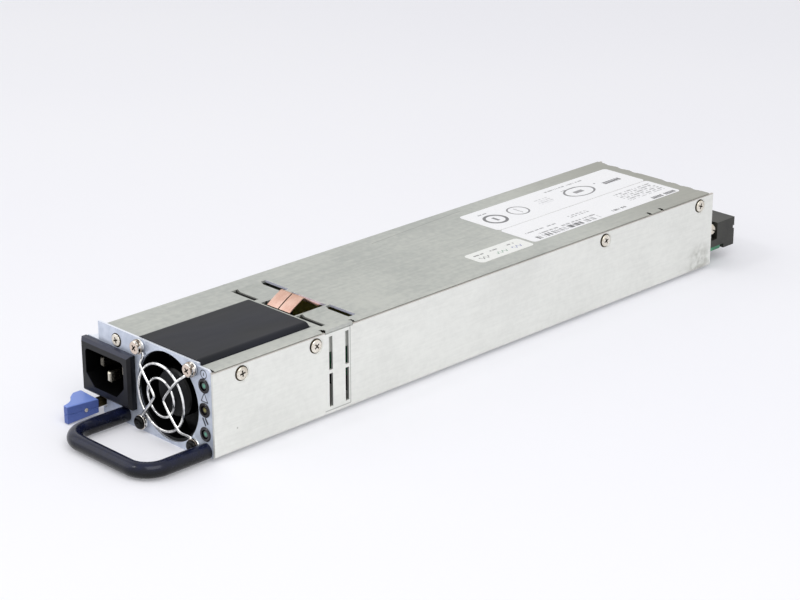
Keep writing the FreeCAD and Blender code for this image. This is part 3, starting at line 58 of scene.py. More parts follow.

# Housing pan. One tray of light galvanized sheet, punched and folded up along both long edges.
# The zinc is left bare: a fine mottle, faint rolling streaks, a few rubs, and a shallow raised
# field behind the slots in the right wall. Pale rings of painted highlight lie round the wall screws,
# painted shade greys the slots' inner faces, and a dark line of painted shade runs round the raised
# field.


class Field:
    """A value that varies over a surface: one shader socket that takes part in arithmetic."""

    def __init__(self, tree, socket):
        self.tree = tree
        self.socket = socket

    def node(self, kind, settings, inputs, output=0):
        """Adds a node, sets it up first, then gives its inputs their values or links."""
        new = self.tree.nodes.new(kind)
        for key, value in settings.items():
            setattr(new, key, value)
        for key, value in inputs.items():
            if isinstance(value, Field):
                self.tree.links.new(value.socket, new.inputs[key])
            else:
                new.inputs[key].default_value = value
        return Field(self.tree, new.outputs[output])

    def calc(self, operation, *others):
        inputs = dict(enumerate((self,) + others))
        return self.node("ShaderNodeMath", {"operation": operation}, inputs)

    def __add__(self, other):
        return self.calc("ADD", other)

    def __sub__(self, other):
        return self.calc("SUBTRACT", other)

    def __rsub__(self, other):
        return (self * -1.0) + other

    def __mul__(self, other):
        return self.calc("MULTIPLY", other)

    def __gt__(self, other):
        return self.calc("GREATER_THAN", other)

    def __lt__(self, other):
        return self.calc("LESS_THAN", other)

    __radd__ = __add__
    __rmul__ = __mul__

    def axis(self, index):
        return self.node("ShaderNodeSeparateXYZ", {}, {0: self}, index)

    def stretched(self, x, y, z):
        """The same places with each axis scaled, to draw a pattern out."""
        return self.node("ShaderNodeVectorMath", {"operation": "MULTIPLY"}, {0: self, 1: (x, y, z)})

    def distance(self, point):
        return self.node("ShaderNodeVectorMath", {"operation": "DISTANCE"}, {0: self, 1: point}, 1)

    def facing(self):
        """Which way the surface looks, on the object's own axes."""
        return self.node("ShaderNodeTexCoord", {}, {}, 1)

    def noise(self, scale, detail=2.0):
        return self.node("ShaderNodeTexNoise", {}, {"Vector": self, "Scale": scale, "Detail": detail})

    def larger(self, other):
        return self.calc("MAXIMUM", other)

    def between(self, low, high):
        """1 from low to high and 0 elsewhere."""
        return (self > low) * (self < high)

    def soft(self, start, end):
        """Rises smoothly from 0 at start to 1 at end."""
        inputs = {"Value": self, "From Min": start, "From Max": end}
        return self.node("ShaderNodeMapRange", {"interpolation_type": "SMOOTHSTEP"}, inputs)

    def line(self, at, core, edge):
        """1 within core of the given value, fading to 0 where it is edge away."""
        return 1.0 - (self - at).calc("ABSOLUTE").soft(core, edge)

    def reach(self, other):
        """Length of the straight line whose two legs are this and the other."""
        return (self * self + other * other).calc("SQRT")

    def spread(self, low, high):
        """A pattern from 0 to 1 brought to the span from low to high."""
        return self * (high - low) + low

    def mix(self, first, second):
        """Colour that goes from first to second as this goes from 0 to 1."""
        return self.node("ShaderNodeMix", {"data_type": "RGBA"}, {0: self, 6: first, 7: second}, 2)

    def feed(self, shader, name):
        self.tree.links.new(self.socket, shader.inputs[name])

    def raise_surface(self, shader, height):
        """Lets this pattern stand up to height metres out of the surface."""
        bump = self.node("ShaderNodeBump", {}, {"Height": self, "Distance": height, "Strength": 1.0})
        bump.feed(shader, "Normal")


def colour(red, green, blue):
    """Linear colour from levels of 0 to 255."""
    return tuple((level / 255) ** 2.2 for level in (red, green, blue)) + (1.0,)


def finish(name, **constants):
    """New material with its shader and the places on the surface in metres."""
    material = bpy.data.materials.new(name)
    material.use_nodes = True
    shader = material.node_tree.nodes["Principled BSDF"]
    for key, value in constants.items():
        shader.inputs[key.replace("_", " ")].default_value = value
    source = material.node_tree.nodes.new("ShaderNodeTexCoord")
    return material, shader, Field(material.node_tree, source.outputs["Object"])


def dress(material, *names):
    """Gives the frame's own pieces their finish."""
    for name in names:
        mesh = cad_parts[name].data
        mesh.materials.clear()
        mesh.materials.append(material)


pan_front, pan_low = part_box("base_pan")[0][1:]
pan_right, pan_rear, pan_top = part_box("base_pan")[1]
slots_start, slots_end = pan_front + 0.0585, pan_front + 0.0715
field_start_y, field_edge_y = pan_front + 0.0575, pan_front + 0.0714
field_edge_z = pan_low + 0.002
face_depth = 0.0005
hairline = (0.0001, 0.0004)
smudge, smudge_size = (pan_right, pan_rear - 0.0085, pan_low + 0.004), (0.001, 0.012)
drip, drip_size = (pan_right, pan_front + 0.0115, pan_low + 0.0098), (0.0001, 0.0006)
right_low, right_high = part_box("side_screws_right")
left_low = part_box("side_screws_left")[0]
side_head_r = (right_high[2] - right_low[2]) / 2
side_z = (right_high[2] + right_low[2]) / 2
third_screw_y = pan_rear - 0.0766
side_y = [right_low[1] + side_head_r, left_low[1] + side_head_r, third_screw_y,
          right_high[1] - side_head_r]
dimple_highlight_ring = (side_head_r + 0.0001, side_head_r + 0.0007)

zinc, shader, place = finish("galvanized_sheet", Metallic=0.55)
along, up = place.axis(1), place.axis(2)
mottle = place.noise(420.0, 3.0)
streaks = place.stretched(1.0, 0.08, 1.0).noise(900.0, 2.0)
clouds = place.noise(28.0, 2.0)
tone = (mottle * 0.3 + streaks * 0.25 + clouds * 0.45).soft(0.3, 0.7)
base = tone.mix(colour(221, 222, 217), colour(235, 236, 231))
worn = place.noise(260.0, 4.0).soft(0.35, 0.65)
rub = (1.0 - place.distance(smudge).soft(*smudge_size)) * worn
base = (rub * 0.6).mix(base, colour(140, 140, 128))
spot = 1.0 - place.distance(drip).soft(*drip_size)
base = (spot * 0.6).mix(base, colour(120, 116, 104))
# Painted highlight: a pale ring on each dimple's slope round a wall screw.
for screw_y in side_y:
    dimple_highlight = (along - screw_y).reach(up - side_z).between(*dimple_highlight_ring)
    base = (dimple_highlight * 0.6).mix(base, colour(248, 248, 244))
# Painted shade: the slots' inner faces that look forward are painted darker grey.
slot_shade = (place.facing().axis(1) < -0.5) * along.between(slots_start, slots_end)
base = (slot_shade * 0.9).mix(base, colour(172, 174, 172))
top_edge = up > pan_top - face_depth
base = (top_edge * 0.45).mix(base, colour(146, 128, 114))
# Painted shade: a dark line along the raised field's edge, as the shadow of its step.
upright = along.line(field_edge_y, *hairline) * (up > field_edge_z)
level = up.line(field_edge_z, *hairline) * along.between(field_start_y, field_edge_y)
field_edge_shade = upright.larger(level) * (place.axis(0) > pan_right - face_depth)
(field_edge_shade * 0.5).mix(base, colour(112, 112, 110)).feed(shader, "Base Color")
mottle.spread(0.42, 0.5).feed(shader, "Roughness")
raised = along.soft(field_edge_y - 0.0003, field_edge_y + 0.0003)
(raised * 0.6 + mottle * 0.04).raise_surface(shader, 0.00012)
dress(zinc, "base_pan")

# Board. A green glass-fibre board is screwed to plated brass posts in the pan, and a narrow strip
# of the same carries the lamps. Copper tracks show as raised lanes under the solder mask.


def drawn_metal(name, dark, light, roughness, run=(1.0, 1.0, 1.0), **constants):
    """Metal with fine lines drawn out along one axis and a little tarnish."""
    material, shader, place = finish(name, Metallic=0.9, **constants)
    lines = place.stretched(*run).noise(2200.0, 2.0)
    tarnish = place.noise(240.0, 3.0)
    (lines * 0.5 + tarnish * 0.5).soft(0.3, 0.7).mix(dark, light).feed(shader, "Base Color")
    lines.spread(roughness - 0.06, roughness + 0.08).feed(shader, "Roughness")
    lines.raise_surface(shader, 0.00001)
    return material


solder_mask, shader, place = finish("solder_mask", Coat_Weight=0.4, Roughness=0.38)
lengthways = place.axis(0).calc("PINGPONG", 0.0021) < 0.0007
crossways = place.axis(1).calc("PINGPONG", 0.0034) < 0.0006
track = lengthways.larger(crossways) * (place.noise(90.0, 1.0) > 0.5)
ground = place.noise(60.0, 2.0).soft(0.4, 0.6).mix(colour(26, 104, 72), colour(34, 124, 86))
track.mix(ground, colour(44, 138, 92)).feed(shader, "Base Color")
track.raise_surface(shader, 0.00003)
dress(solder_mask, "main_board", "lamp_board")
brass = drawn_metal("plated_brass", colour(176, 168, 140), colour(222, 214, 184), 0.3)
dress(brass, "standoffs", "output_contacts", "board_screws")

# Capacitors. Aluminium cans are soldered to the board in black shrink sleeves, which are paler in
# patches where they are printed.

sleeve, shader, place = finish("shrink_sleeve", Roughness=0.42)
band = place.noise(50.0, 1.0) > 0.56
(band * 0.35).mix(colour(32, 32, 36), colour(120, 120, 124)).feed(shader, "Base Color")
place.noise(700.0, 3.0).raise_surface(shader, 0.00003)
dress(sleeve, "bulk_capacitors", "output_capacitors")

# Heatsinks. Two finned lengths of extruded aluminium stand along the board, left bare.
# The die leaves fine lines along them.

along_extrusion = (1.0, 0.05, 1.0)
extrusion = drawn_metal(
    "extruded_aluminium", colour(168, 170, 172), colour(206, 208, 210), 0.36, along_extrusion)
dress(extrusion, "primary_heatsink", "secondary_heatsink")

# Transformer, choke and filter. Ferrite halves close round a bobbin of enamelled copper wire, the
# choke is wound with the same wire, and the mains filter sits in a yellow case. Three black
# sleeved leads come back to the board from the inlet.


def moulded(name, dark, light, roughness, grain=900.0, **constants):
    """Plastic or paint: a slight change of tone and a fine grain that breaks the gloss."""
    material, shader, place = finish(name, Roughness=roughness, **constants)
    grit = place.noise(grain, 3.0)
    clouds = place.noise(grain / 14, 2.0)
    (grit * 0.4 + clouds * 0.6).soft(0.3, 0.7).mix(dark, light).feed(shader, "Base Color")
    grit.spread(roughness - 0.05, roughness + 0.07).feed(shader, "Roughness")
    grit.raise_surface(shader, 0.00002)
    return material


ferrite = moulded("sintered_ferrite", colour(44, 44, 46), colour(70, 70, 72), 0.55, 1500.0)
dress(ferrite, "transformer_core")
wound, shader, place = finish("enamelled_winding", Metallic=0.7, Roughness=0.35, Coat_Weight=0.5)
turns = (place.axis(1) * 4200.0).calc("SINE").spread(0.5, 1.0)
turns.mix(colour(110, 52, 28), colour(196, 112, 66)).feed(shader, "Base Color")
turns.raise_surface(shader, 0.0002)
dress(wound, "transformer_bobbin", "filter_choke")
filter_case = moulded("filter_case", colour(196, 176, 84), colour(214, 196, 104), 0.45)
dress(filter_case, "filter_block")
lead_sleeve = moulded("lead_sleeve", colour(30, 30, 32), colour(46, 46, 48), 0.5)
dress(lead_sleeve, "mains_leads")

# Output connector. A black glass-filled moulding stands on the board's tongue behind the pan.
# Its near end is stepped down round a bright slotted screw that holds it to the board.

glass_filled = moulded("glass_filled_black", colour(31, 31, 28), colour(51, 51, 46), 0.46, 1100.0)
dress(glass_filled, "output_connector")


def make_active(piece, *others):
    """Selects these pieces and nothing else, with the first one active."""
    bpy.ops.object.select_all(action="DESELECT")
    for one in (piece,) + others:
        one.select_set(True)
    bpy.context.view_layer.objects.active = piece


def pick(piece, wanted):
    """Enters edit mode on the piece with only the wanted places selected."""
    make_active(piece)
    bpy.ops.object.mode_set(mode="EDIT")
    bpy.ops.mesh.select_mode(type="VERT")
    bpy.ops.mesh.select_all(action="DESELECT")
    bpy.ops.object.mode_set(mode="OBJECT")
    for vertex in piece.data.vertices:
        vertex.select = wanted(vertex.co)
    bpy.ops.object.mode_set(mode="EDIT")


def settle():
    """Writes the active piece's place into its mesh and hands it back."""
    bpy.ops.object.transform_apply(location=True, rotation=True, scale=True)
    return bpy.context.object


def disc(radius, height, crown, segments=5):
    """Round head or washer that stands on its seat along +Z, with its upper edge rolled off."""
    bpy.ops.mesh.primitive_cylinder_add(
        vertices=56, radius=radius, depth=height, location=(0, 0, height / 2))
    piece = settle()
    pick(piece, lambda co: co.z > height - 1e-6)
    bpy.ops.mesh.bevel(offset=crown, segments=segments, profile=0.5)
    bpy.ops.object.mode_set(mode="OBJECT")
    return piece


def notch(head, length, width, top, depth, turn=0.0, taper=1.0):
    """Cuts one groove across the head, narrowed by taper at its floor."""
    bpy.ops.mesh.primitive_cube_add(size=1.0, location=(0, 0, top), rotation=(0, 0, turn))
    blade = bpy.context.object
    blade.scale = (length, width, 2 * depth)
    settle()
    pick(blade, lambda co: co.z < top)
    bpy.ops.transform.resize(value=(taper, taper, 1.0), center_override=(0, 0, top))
    bpy.ops.object.mode_set(mode="OBJECT")
    cut = head.modifiers.new("groove", "BOOLEAN")
    cut.object = blade
    cut.operation = "DIFFERENCE"
    make_active(head)
    bpy.ops.object.modifier_apply(modifier=cut.name)
    bpy.data.objects.remove(blade)


def face_out(piece, seat, out, turn=0.0):
    """Turns a piece modelled on +Z to face out from its seat."""
    facing = Vector((0, 0, 1)).rotation_difference(Vector(out)).to_matrix().to_4x4()
    spun = Matrix.Rotation(math.radians(turn), 4, "Z")
    piece.data.transform(Matrix.Translation(seat) @ facing @ spun)


def hand_over(piece, name, node, slot, *materials):
    """Names a finished piece of the housing, dresses it and lets it stand for its node."""
    make_active(piece)
    bpy.ops.object.shade_smooth_by_angle(angle=math.radians(32))
    piece.name = name
    piece.data.name = name
    for material in materials:
        piece.data.materials.append(material)
    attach(piece, "chassis")
    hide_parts(node)


plated = drawn_metal("bright_nickel", colour(196, 187, 170), colour(248, 243, 232), 0.2)
# Painted shade for recesses and gaps: dark brown-grey metal.
recess_shade = drawn_metal("painted_recess_shade", colour(44, 38, 30), colour(78, 70, 56), 0.55)

screw_low, screw_high = (Vector(corner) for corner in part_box("connector_screw"))
screw_middle = (screw_low + screw_high) / 2
block_screw_r = (screw_high.y - screw_low.y) / 2
block_screw_h = 0.0020
head = disc(block_screw_r, block_screw_h, crown=0.0013, segments=7)
notch(head, length=3 * block_screw_r, width=0.0007, top=block_screw_h, depth=0.0009)
seat = Vector((screw_high.x - block_screw_h, screw_middle.y, screw_middle.z))
face_out(head, seat, out=(1, 0, 0), turn=65)
hand_over(head, "slotted_block_screw", "connector_screw", "nickel_screws", plated)

# Fan. A black moulded frame holds two rotors that turn opposite ways on ground steel shafts.
# The barrel and blades come from polished tools, so they carry a soft gloss.

fan_black = moulded(
    "fan_moulding", colour(8, 8, 9), colour(14, 14, 16), 0.4, 800.0, Specular_IOR_Level=0.2)
dress(fan_black, "fan_frame", "rear_rotor")
rotor_black = moulded(
    "rotor_moulding", colour(8, 8, 9), colour(17, 17, 19), 0.32, 800.0, Specular_IOR_Level=0.22)
dress(rotor_black, "front_rotor")
ground_steel = drawn_metal("ground_steel", colour(150, 150, 150), colour(200, 200, 200), 0.25)
dress(ground_steel, "front_shaft", "rear_shaft", "front_bearings", "rear_bearings")
dress(wound, "front_stator", "rear_stator")
dress(ferrite, "front_magnet", "rear_magnet")

# Films. Thin black insulating film is folded over the fan above and below it, and a flat piece of
# it lies under the board. It is satin, a little wavy where it bridges the frame, and dusty in spots.

film, shader, place = finish("black_film", Specular_IOR_Level=0.22)
waves = place.stretched(1.0, 0.35, 1.0).noise(70.0, 2.0)
dust = place.noise(2600.0, 1.0).soft(0.78, 0.84)
film_tone = waves.soft(0.3, 0.7).mix(colour(18, 20, 26), colour(28, 30, 39))
(dust * 0.4).mix(film_tone, colour(130, 132, 140)).feed(shader, "Base Color")
waves.spread(0.42, 0.54).feed(shader, "Roughness")
waves.raise_surface(shader, 0.0004)
dress(film, "fan_sheet_top", "fan_sheet_bottom", "insulation_sheet")

# Mains inlet. A slate black moulding with a bevelled rim clips into the plate, with three plated
# pins in its cavity and a folded steel cover over the side that stands outside the housing. Its
# upper faces are painted lighter as painted highlight, its cavity is painted near black as painted
# shade, and the pins carry painted shade on their flanks behind bright tips.

face_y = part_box("front_plate")[0][1]
inlet_low, inlet_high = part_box("inlet_housing")
inlet_x = (inlet_low[0] + inlet_high[0]) / 2
cavity_half_w = (inlet_high[0] - inlet_low[0]) / 2 - 0.0034
cavity_top = inlet_high[2] - 0.0030
rim_face_y = inlet_low[1] + 0.0002

slate, shader, place = finish("inlet_moulding", Specular_IOR_Level=0.3)
grit = place.noise(1000.0, 3.0)
streaks = place.stretched(1.0, 0.2, 1.0).noise(900.0, 2.0)
skin_and_top_light = (grit * 0.5 + streaks * 0.5).soft(0.3, 0.7).mix(colour(11, 12, 16), colour(21, 22, 28))
# Painted highlight: faces that look up are painted lighter and bluer.
skin_and_top_light = (place.facing().axis(2) > 0.5).mix(skin_and_top_light, colour(52, 54, 68))
# Painted shade: the inside of the cavity is painted near black.
cavity_shade = (place.axis(0) - inlet_x).calc("ABSOLUTE") < cavity_half_w
cavity_shade = cavity_shade * (place.axis(1) > rim_face_y) * (place.axis(2) < cavity_top)
cavity_shade.mix(skin_and_top_light, colour(6, 6, 8)).feed(shader, "Base Color")
grit.spread(0.34, 0.46).feed(shader, "Roughness")
grit.raise_surface(shader, 0.00002)
dress(slate, "inlet_housing")

pins, shader, place = finish("inlet_pin_plating", Metallic=0.9)
# Painted shade: each pin is bright at its tip and painted dark along its flanks, as the cavity's
# shadow.
lit_tip = 1.0 - place.axis(1).soft(face_y - 0.0010, face_y + 0.0014)
lit_tip.mix(colour(70, 66, 58), colour(206, 200, 186)).feed(shader, "Base Color")
place.noise(1500.0, 2.0).spread(0.22, 0.34).feed(shader, "Roughness")
dress(pins, "inlet_pins")

# Front plate. Bright zinc plate, slightly blue, cut with the fan's opening and the lamp holes.
# It is folded into two flanges behind and closes the front of the housing. Small marks are
# printed beside the lamps: a ring with a bar, a triangle and two slanted strokes.

bezel_low, bezel_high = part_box("lamp_bezels")
lamp_x = (bezel_low[0] + bezel_high[0]) / 2
bezel_r = (bezel_high[0] - bezel_low[0]) / 2
lamp_z = (bezel_high[2] - bezel_r, (bezel_low[2] + bezel_high[2]) / 2, bezel_low[2] + bezel_r)

blue_zinc, shader, place = finish("blue_zinc_plate", Metallic=0.5)
bloom = place.noise(330.0, 3.0)
wide = place.noise(40.0, 2.0)
tone = (bloom * 0.5 + wide * 0.5).soft(0.32, 0.68)
sheet_tone = tone.mix(colour(186, 195, 211), colour(213, 220, 234))
# Painted highlight: faces that look up, such as the plate's top edge, are painted near white.
sheet_tone = (place.facing().axis(2) > 0.5).mix(sheet_tone, colour(232, 236, 246))
bloom.spread(0.34, 0.5).feed(shader, "Roughness")
bloom.raise_surface(shader, 0.00002)
across = (place.axis(0) - lamp_x) * 1000.0
height = (place.axis(2) - lamp_z[0]) * 1000.0


def stroke(start, end, width):
    """1 on one printed line between two points, in millimetres from the top lamp."""
    x, z = across - start[0], height - start[1]
    run, rise = end[0] - start[0], end[1] - start[1]
    part = (x * run + z * rise) * (1 / (run * run + rise * rise))
    part = part.larger(0.0).calc("MINIMUM", 1.0)
    return 1.0 - (x - part * run).reach(z - part * rise).soft(0.35 * width, 0.65 * width)


ring_centre, ring_r = 4.8, 1.7
corners = ((-1.9, -6.6), (0.0, -2.9), (1.9, -6.6))
marks = [(a, b, 0.42) for a, b in zip(corners, corners[1:] + corners[:1])]
marks += [((0.0, 4.3), (0.0, 5.2), 0.5)]
marks += [((-1.2, -13.9), (0.1, -16.3), 0.9), ((0.3, -13.7), (1.4, -15.3), 1.0)]
printed = across.reach(height - ring_centre).line(ring_r, 0.12, 0.28)
for mark in marks:
    printed = printed.larger(stroke(*mark))
printed = printed * (place.axis(1) < face_y + 0.0002)
(printed * 0.95).mix(sheet_tone, colour(34, 36, 48)).feed(shader, "Base Color")
dress(blue_zinc, "front_plate", "inlet_shroud")

# Handle. A bent steel rod in glossy black coating, its ends peened over behind the plate.
# The coating is thick enough to round every edge and shows a slight orange peel.

coating, shader, place = finish(
    "black_coating", Coat_Weight=0.22, Coat_Roughness=0.1, Specular_IOR_Level=0.2)
peel = place.noise(420.0, 3.0)
# Painted sheen: the coating is painted lighter and bluer on faces that look up.
painted_top_sheen = place.facing().axis(2).soft(-0.2, 0.9)
ground = painted_top_sheen.mix(colour(14, 15, 17), colour(25, 30, 54))
(peel.soft(0.3, 0.7) * 0.5).mix(ground, colour(20, 21, 28)).feed(shader, "Base Color")
peel.spread(0.24, 0.32).feed(shader, "Roughness")
peel.raise_surface(shader, 0.00002)
dress(coating, "handle")

# Lamps. Three dark lenses sit in black bezels pushed through the plate: green, amber, green.
# Unlit, each shows only a small coloured core behind the smoky front.

bezel_black = moulded("bezel_moulding", colour(16, 14, 17), colour(34, 30, 36), 0.25)
dress(bezel_black, "lamp_bezels")


def lens_finish(name, core, rim, heights):
    """Smoky lens with a small core of colour on each of its axes."""
    material, shader, place = finish(name, Roughness=0.12, Coat_Weight=0.6)
    nearest = None
    for lens_z in heights:
        reach = (place.axis(0) - lamp_x).reach(place.axis(2) - lens_z)
        nearest = reach if nearest is None else nearest.calc("MINIMUM", reach)
    glow = 1.0 - nearest.soft(0.0003, 0.0013)
    (glow * place.noise(1500.0).spread(0.7, 1.0)).mix(rim, core).feed(shader, "Base Color")
    return material


green = lens_finish("green_lens", colour(64, 158, 128), colour(12, 24, 24), lamp_z[::2])
dress(green, "lamp_lenses_green")
amber = lens_finish("amber_lens", colour(150, 144, 92), colour(20, 20, 18), lamp_z[1:2])
dress(amber, "lamp_lens_amber")

# Release latch. A brown spring steel leaf is riveted to the left wall and carries a blue moulded
# tab, parted along its middle, that the thumb presses.

along_leaf = (1.0, 0.05, 1.0)
spring = drawn_metal("spring_steel", colour(52, 44, 28), colour(96, 84, 58), 0.36, along_leaf)
dress(spring, "latch_leaf")
tab_blue, shader, place = finish("blue_moulding", Specular_IOR_Level=0.4)
grit = place.noise(700.0, 3.0)
# Painted light: the tab's upper faces are painted lighter than its sides.
painted_top_light = place.facing().axis(2).soft(0.2, 0.8)
tone = painted_top_light * 0.9 + grit * 0.1
tone.mix(colour(76, 95, 160), colour(124, 149, 224)).feed(shader, "Base Color")
grit.spread(0.36, 0.48).feed(shader, "Roughness")
grit.raise_surface(shader, 0.00002)
dress(tab_blue, "latch_tab")
dress(plated, "latch_pin", "latch_rivets")

# Cover. Duller galvanized sheet, bent down all round, with pressed bridges beside the clip.
# A long rub left by a tool runs ahead of the labels. The sheet is darker and warmer towards the
# rear. Painted shade darkens its edge cuts and the roots of the bridges, and painted light makes
# the forward faces of the rear slots lilac.

cover_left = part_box("top_cover")[0][0]
cover_right, cover_rear, cover_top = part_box("top_cover")[1]
rub_start = (cover_left + 0.0080, pan_front + 0.142)
rub_end = (cover_left + 0.0048, pan_front + 0.201)
rub_slope = (rub_end[0] - rub_start[0]) / (rub_end[1] - rub_start[1])
edge_tab = (pan_front + 0.0590, pan_front + 0.0720)
bridge_roots = (pan_front + 0.0630, pan_front + 0.0641)
rear_slots = (pan_front + 0.0755, pan_front + 0.0800)
side_edge, rear_edge = cover_right - 0.0030, cover_rear - 0.0036
cut_floor = cover_top - 0.0026
bridge_height = (cover_top - 0.0030, cover_top - 0.0003)
bridges_end = cover_right - 0.0045

dull_zinc, shader, place = finish("dull_galvanized_sheet", Metallic=0.5)
across, along, up = (place.axis(index) for index in range(3))
mottle = place.noise(380.0, 3.0)
streaks = place.stretched(1.0, 0.1, 1.0).noise(700.0, 2.0)
clouds = place.noise(22.0, 2.0)
tone = (mottle * 0.35 + streaks * 0.25 + clouds * 0.4).soft(0.34, 0.66)
sheet_tone = tone.mix(colour(168, 171, 167), colour(190, 192, 186))
# Darker and warmer towards the rear.
toward_rear = along.soft(pan_front + 0.200, pan_rear)
sheet_tone = (toward_rear * 0.6).mix(sheet_tone, colour(146, 144, 134))
scratch_x = (along - rub_start[1]) * rub_slope + rub_start[0]
scratch = across.line(scratch_x, *hairline) * along.between(rub_start[1], rub_end[1])
sheet_tone = (scratch * 0.4).mix(sheet_tone, colour(110, 112, 110))

facing = place.facing()
at_edge = (across > side_edge).larger(along > rear_edge)
at_edge = at_edge * (1.0 - along.between(*edge_tab)) * (facing.axis(0) < 0.95)
# Painted shade: the inside faces of the cuts at the side and rear edges are painted near black.
cut_shade = (facing.axis(2).calc("ABSOLUTE") < 0.1) * (up > cut_floor) * at_edge
sheet_tone = cut_shade.mix(sheet_tone, colour(26, 25, 22))
# Painted light: the forward-facing cut faces of the rear slots are painted pale lilac.
lit_cut = (facing.axis(1) < -0.5) * along.between(*rear_slots)
sheet_tone = lit_cut.mix(sheet_tone, colour(228, 229, 248))
# Painted shade: a dark band below the top where the bridges leave the sheet.
bridge_shade = along.between(*bridge_roots) * up.between(*bridge_height) * (across < bridges_end)
(bridge_shade * 0.85).mix(sheet_tone, colour(36, 35, 32)).feed(shader, "Base Color")
mottle.spread(0.4, 0.55).feed(shader, "Roughness")
(mottle * 0.2 - scratch).raise_surface(shader, 0.00005)
dress(dull_zinc, "top_cover")

# Earthing clip. Two fingers of bare copper alloy rise through the cover and press on the bay.
# Their faces are burnished and the tops of their folds are darker.

copper, shader, place = finish("clip_copper", Metallic=0.7)
grain = place.stretched(1.0, 0.1, 1.0).noise(1800.0, 2.0)
burnish = place.noise(200.0, 2.0)
tone = (grain * 0.4 + burnish * 0.6).soft(0.3, 0.7)
copper_tone = tone.mix(colour(216, 170, 154), colour(240, 204, 190))
crest = place.facing().axis(2).soft(0.8, 0.95)
(crest * 0.7).mix(copper_tone, colour(176, 140, 116)).feed(shader, "Base Color")
grain.spread(0.28, 0.42).feed(shader, "Roughness")
dress(copper, "clip_base", "clip_finger_left", "clip_finger_right")

# Wall and plate screws. Nickel plated screws with a cross recess lie flush in dimples of the walls.
# Each head stands on a thin dark disc of painted shade for the gap round it, and its cross recess
# is painted dark as shade. A flatter one of the same kind holds the plate.


def cross_screw(radius, gap, height, crown, reach, width, depth, plating=plated):
    """Crowned head on +Z on a disc of painted shade for its gap, with a cross recess that narrows to
    its floor and is painted dark as shade.
    """
    head = disc(radius - gap, height, crown)
    for turn in (0.0, math.pi / 2):
        notch(head, 2 * reach, width, height, depth, turn, taper=0.5)
    for face in head.data.polygons:
        inside = math.hypot(face.center.x, face.center.y) < reach
        face.material_index = int(inside and 1e-6 < face.center.z < height - 1e-5)
    head.data.materials.append(plating)
    head.data.materials.append(recess_shade)
    if gap:
        rim = disc(radius, 0.35 * height, crown=0.0001, segments=2)
        rim.data.materials.append(recess_shade)
        head = joined(head, rim)
    return head


def joined(first, *others):
    """Makes one mesh of several."""
    make_active(first, *others)
    bpy.ops.object.join()
    return first


def driven(pattern, seats, out, turns):
    """Copies a head to its seats, facing out, each turned as it was driven, as one set."""
    copies = []
    for seat, turn in zip(seats, turns):
        copy = pattern.copy()
        copy.data = pattern.data.copy()
        bpy.context.scene.collection.objects.link(copy)
        face_out(copy, seat, out, turn)
        copies.append(copy)
    bpy.data.objects.remove(pattern)
    return joined(*copies)


side_head_h = 0.0009
right_seat, left_seat = right_high[0] - side_head_h, left_low[0] + side_head_h
for name, node, seat_x, outward, places, turns in (
        ("right_wall_screws", "side_screws_right", right_seat, 1, side_y, (8, 40, 25, 70)),
        ("left_wall_screws", "side_screws_left", left_seat, -1, side_y[1:], (33, 5, 60))):
    pattern = cross_screw(side_head_r, gap=0.0004, height=side_head_h, crown=0.0005,
                          reach=0.0018, width=0.00085, depth=0.0006)
    seats = [Vector((seat_x, y, side_z)) for y in places]
    hand_over(driven(pattern, seats, (outward, 0, 0), turns), name, node, "nickel_screws")

plate_low, plate_high = (Vector(corner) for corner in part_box("plate_screw"))
plate_middle = (plate_low + plate_high) / 2
plate_head_h = 0.0006
pattern = cross_screw((plate_high.x - plate_low.x) / 2, gap=0.00035, height=plate_head_h,
                      crown=0.0003, reach=0.0017, width=0.0009, depth=0.00045)
seat = Vector((plate_middle.x, plate_low.y + plate_head_h, plate_middle.z))
whole = driven(pattern, [seat], (0, -1, 0), (20,))
hand_over(whole, "plate_cross_screw", "plate_screw", "nickel_screws")

# Wire guard. Two rings of bright chromed wire stand in front of the fan, held by two long wires
# that run from eyelets under the corner screws. They are welded together where they cross.

fan_low, fan_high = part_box("fan_frame")
fan_x = (fan_low[0] + fan_high[0]) / 2
fan_z = (fan_low[2] + fan_high[2]) / 2
corner = 0.0160
wire_r = 0.0006
eyelet_r = 0.0024
ring_radii = (0.0137, 0.0079)
apex_from_middle = 0.0021
foot_from_screw, rise_from_screw = 0.0040, 0.0071
plate_y = face_y - wire_r
ring_y = face_y - 0.0034
cross_y = ring_y - 1.8 * wire_r

chrome, shader, place = finish("bright_chrome", Metallic=1.0)
patches = place.noise(260.0, 2.0)
bright = patches.soft(0.4, 0.66).mix(colour(250, 250, 248), colour(176, 176, 178))
# Painted shade: the wire is painted dark grey on faces that look down.
underside_shade = place.facing().axis(2).soft(-0.15, -0.75)
(underside_shade * 0.75).mix(bright, colour(64, 64, 66)).feed(shader, "Base Color")
patches.spread(0.08, 0.2).feed(shader, "Roughness")


def wire_mesh():
    """Gives the active curve its wire section and makes it a mesh."""
    curve = bpy.context.object
    curve.data.dimensions = "3D"
    curve.data.bevel_depth = wire_r
    curve.data.bevel_resolution = 4
    curve.data.resolution_u = 16
    curve.data.use_fill_caps = True
    bpy.ops.object.convert(target="MESH")
    return settle()


def wire_ring(x, y, z, radius):
    bpy.ops.curve.primitive_bezier_circle_add(
        radius=radius, location=(x, y, z), rotation=(math.pi / 2, 0, 0))
    return wire_mesh()


def bent_wire(points):
    """Wire along one smooth line that rounds each of its points."""
    bpy.ops.curve.primitive_nurbs_path_add()
    data = bpy.context.object.data
    data.splines.clear()
    spline = data.splines.new("NURBS")
    spline.points.add(len(points) - 1)
    for point, at in zip(spline.points, points):
        point.co = (*at, 1.0)
    spline.order_u = 3
    spline.use_endpoint_u = True
    return wire_mesh()


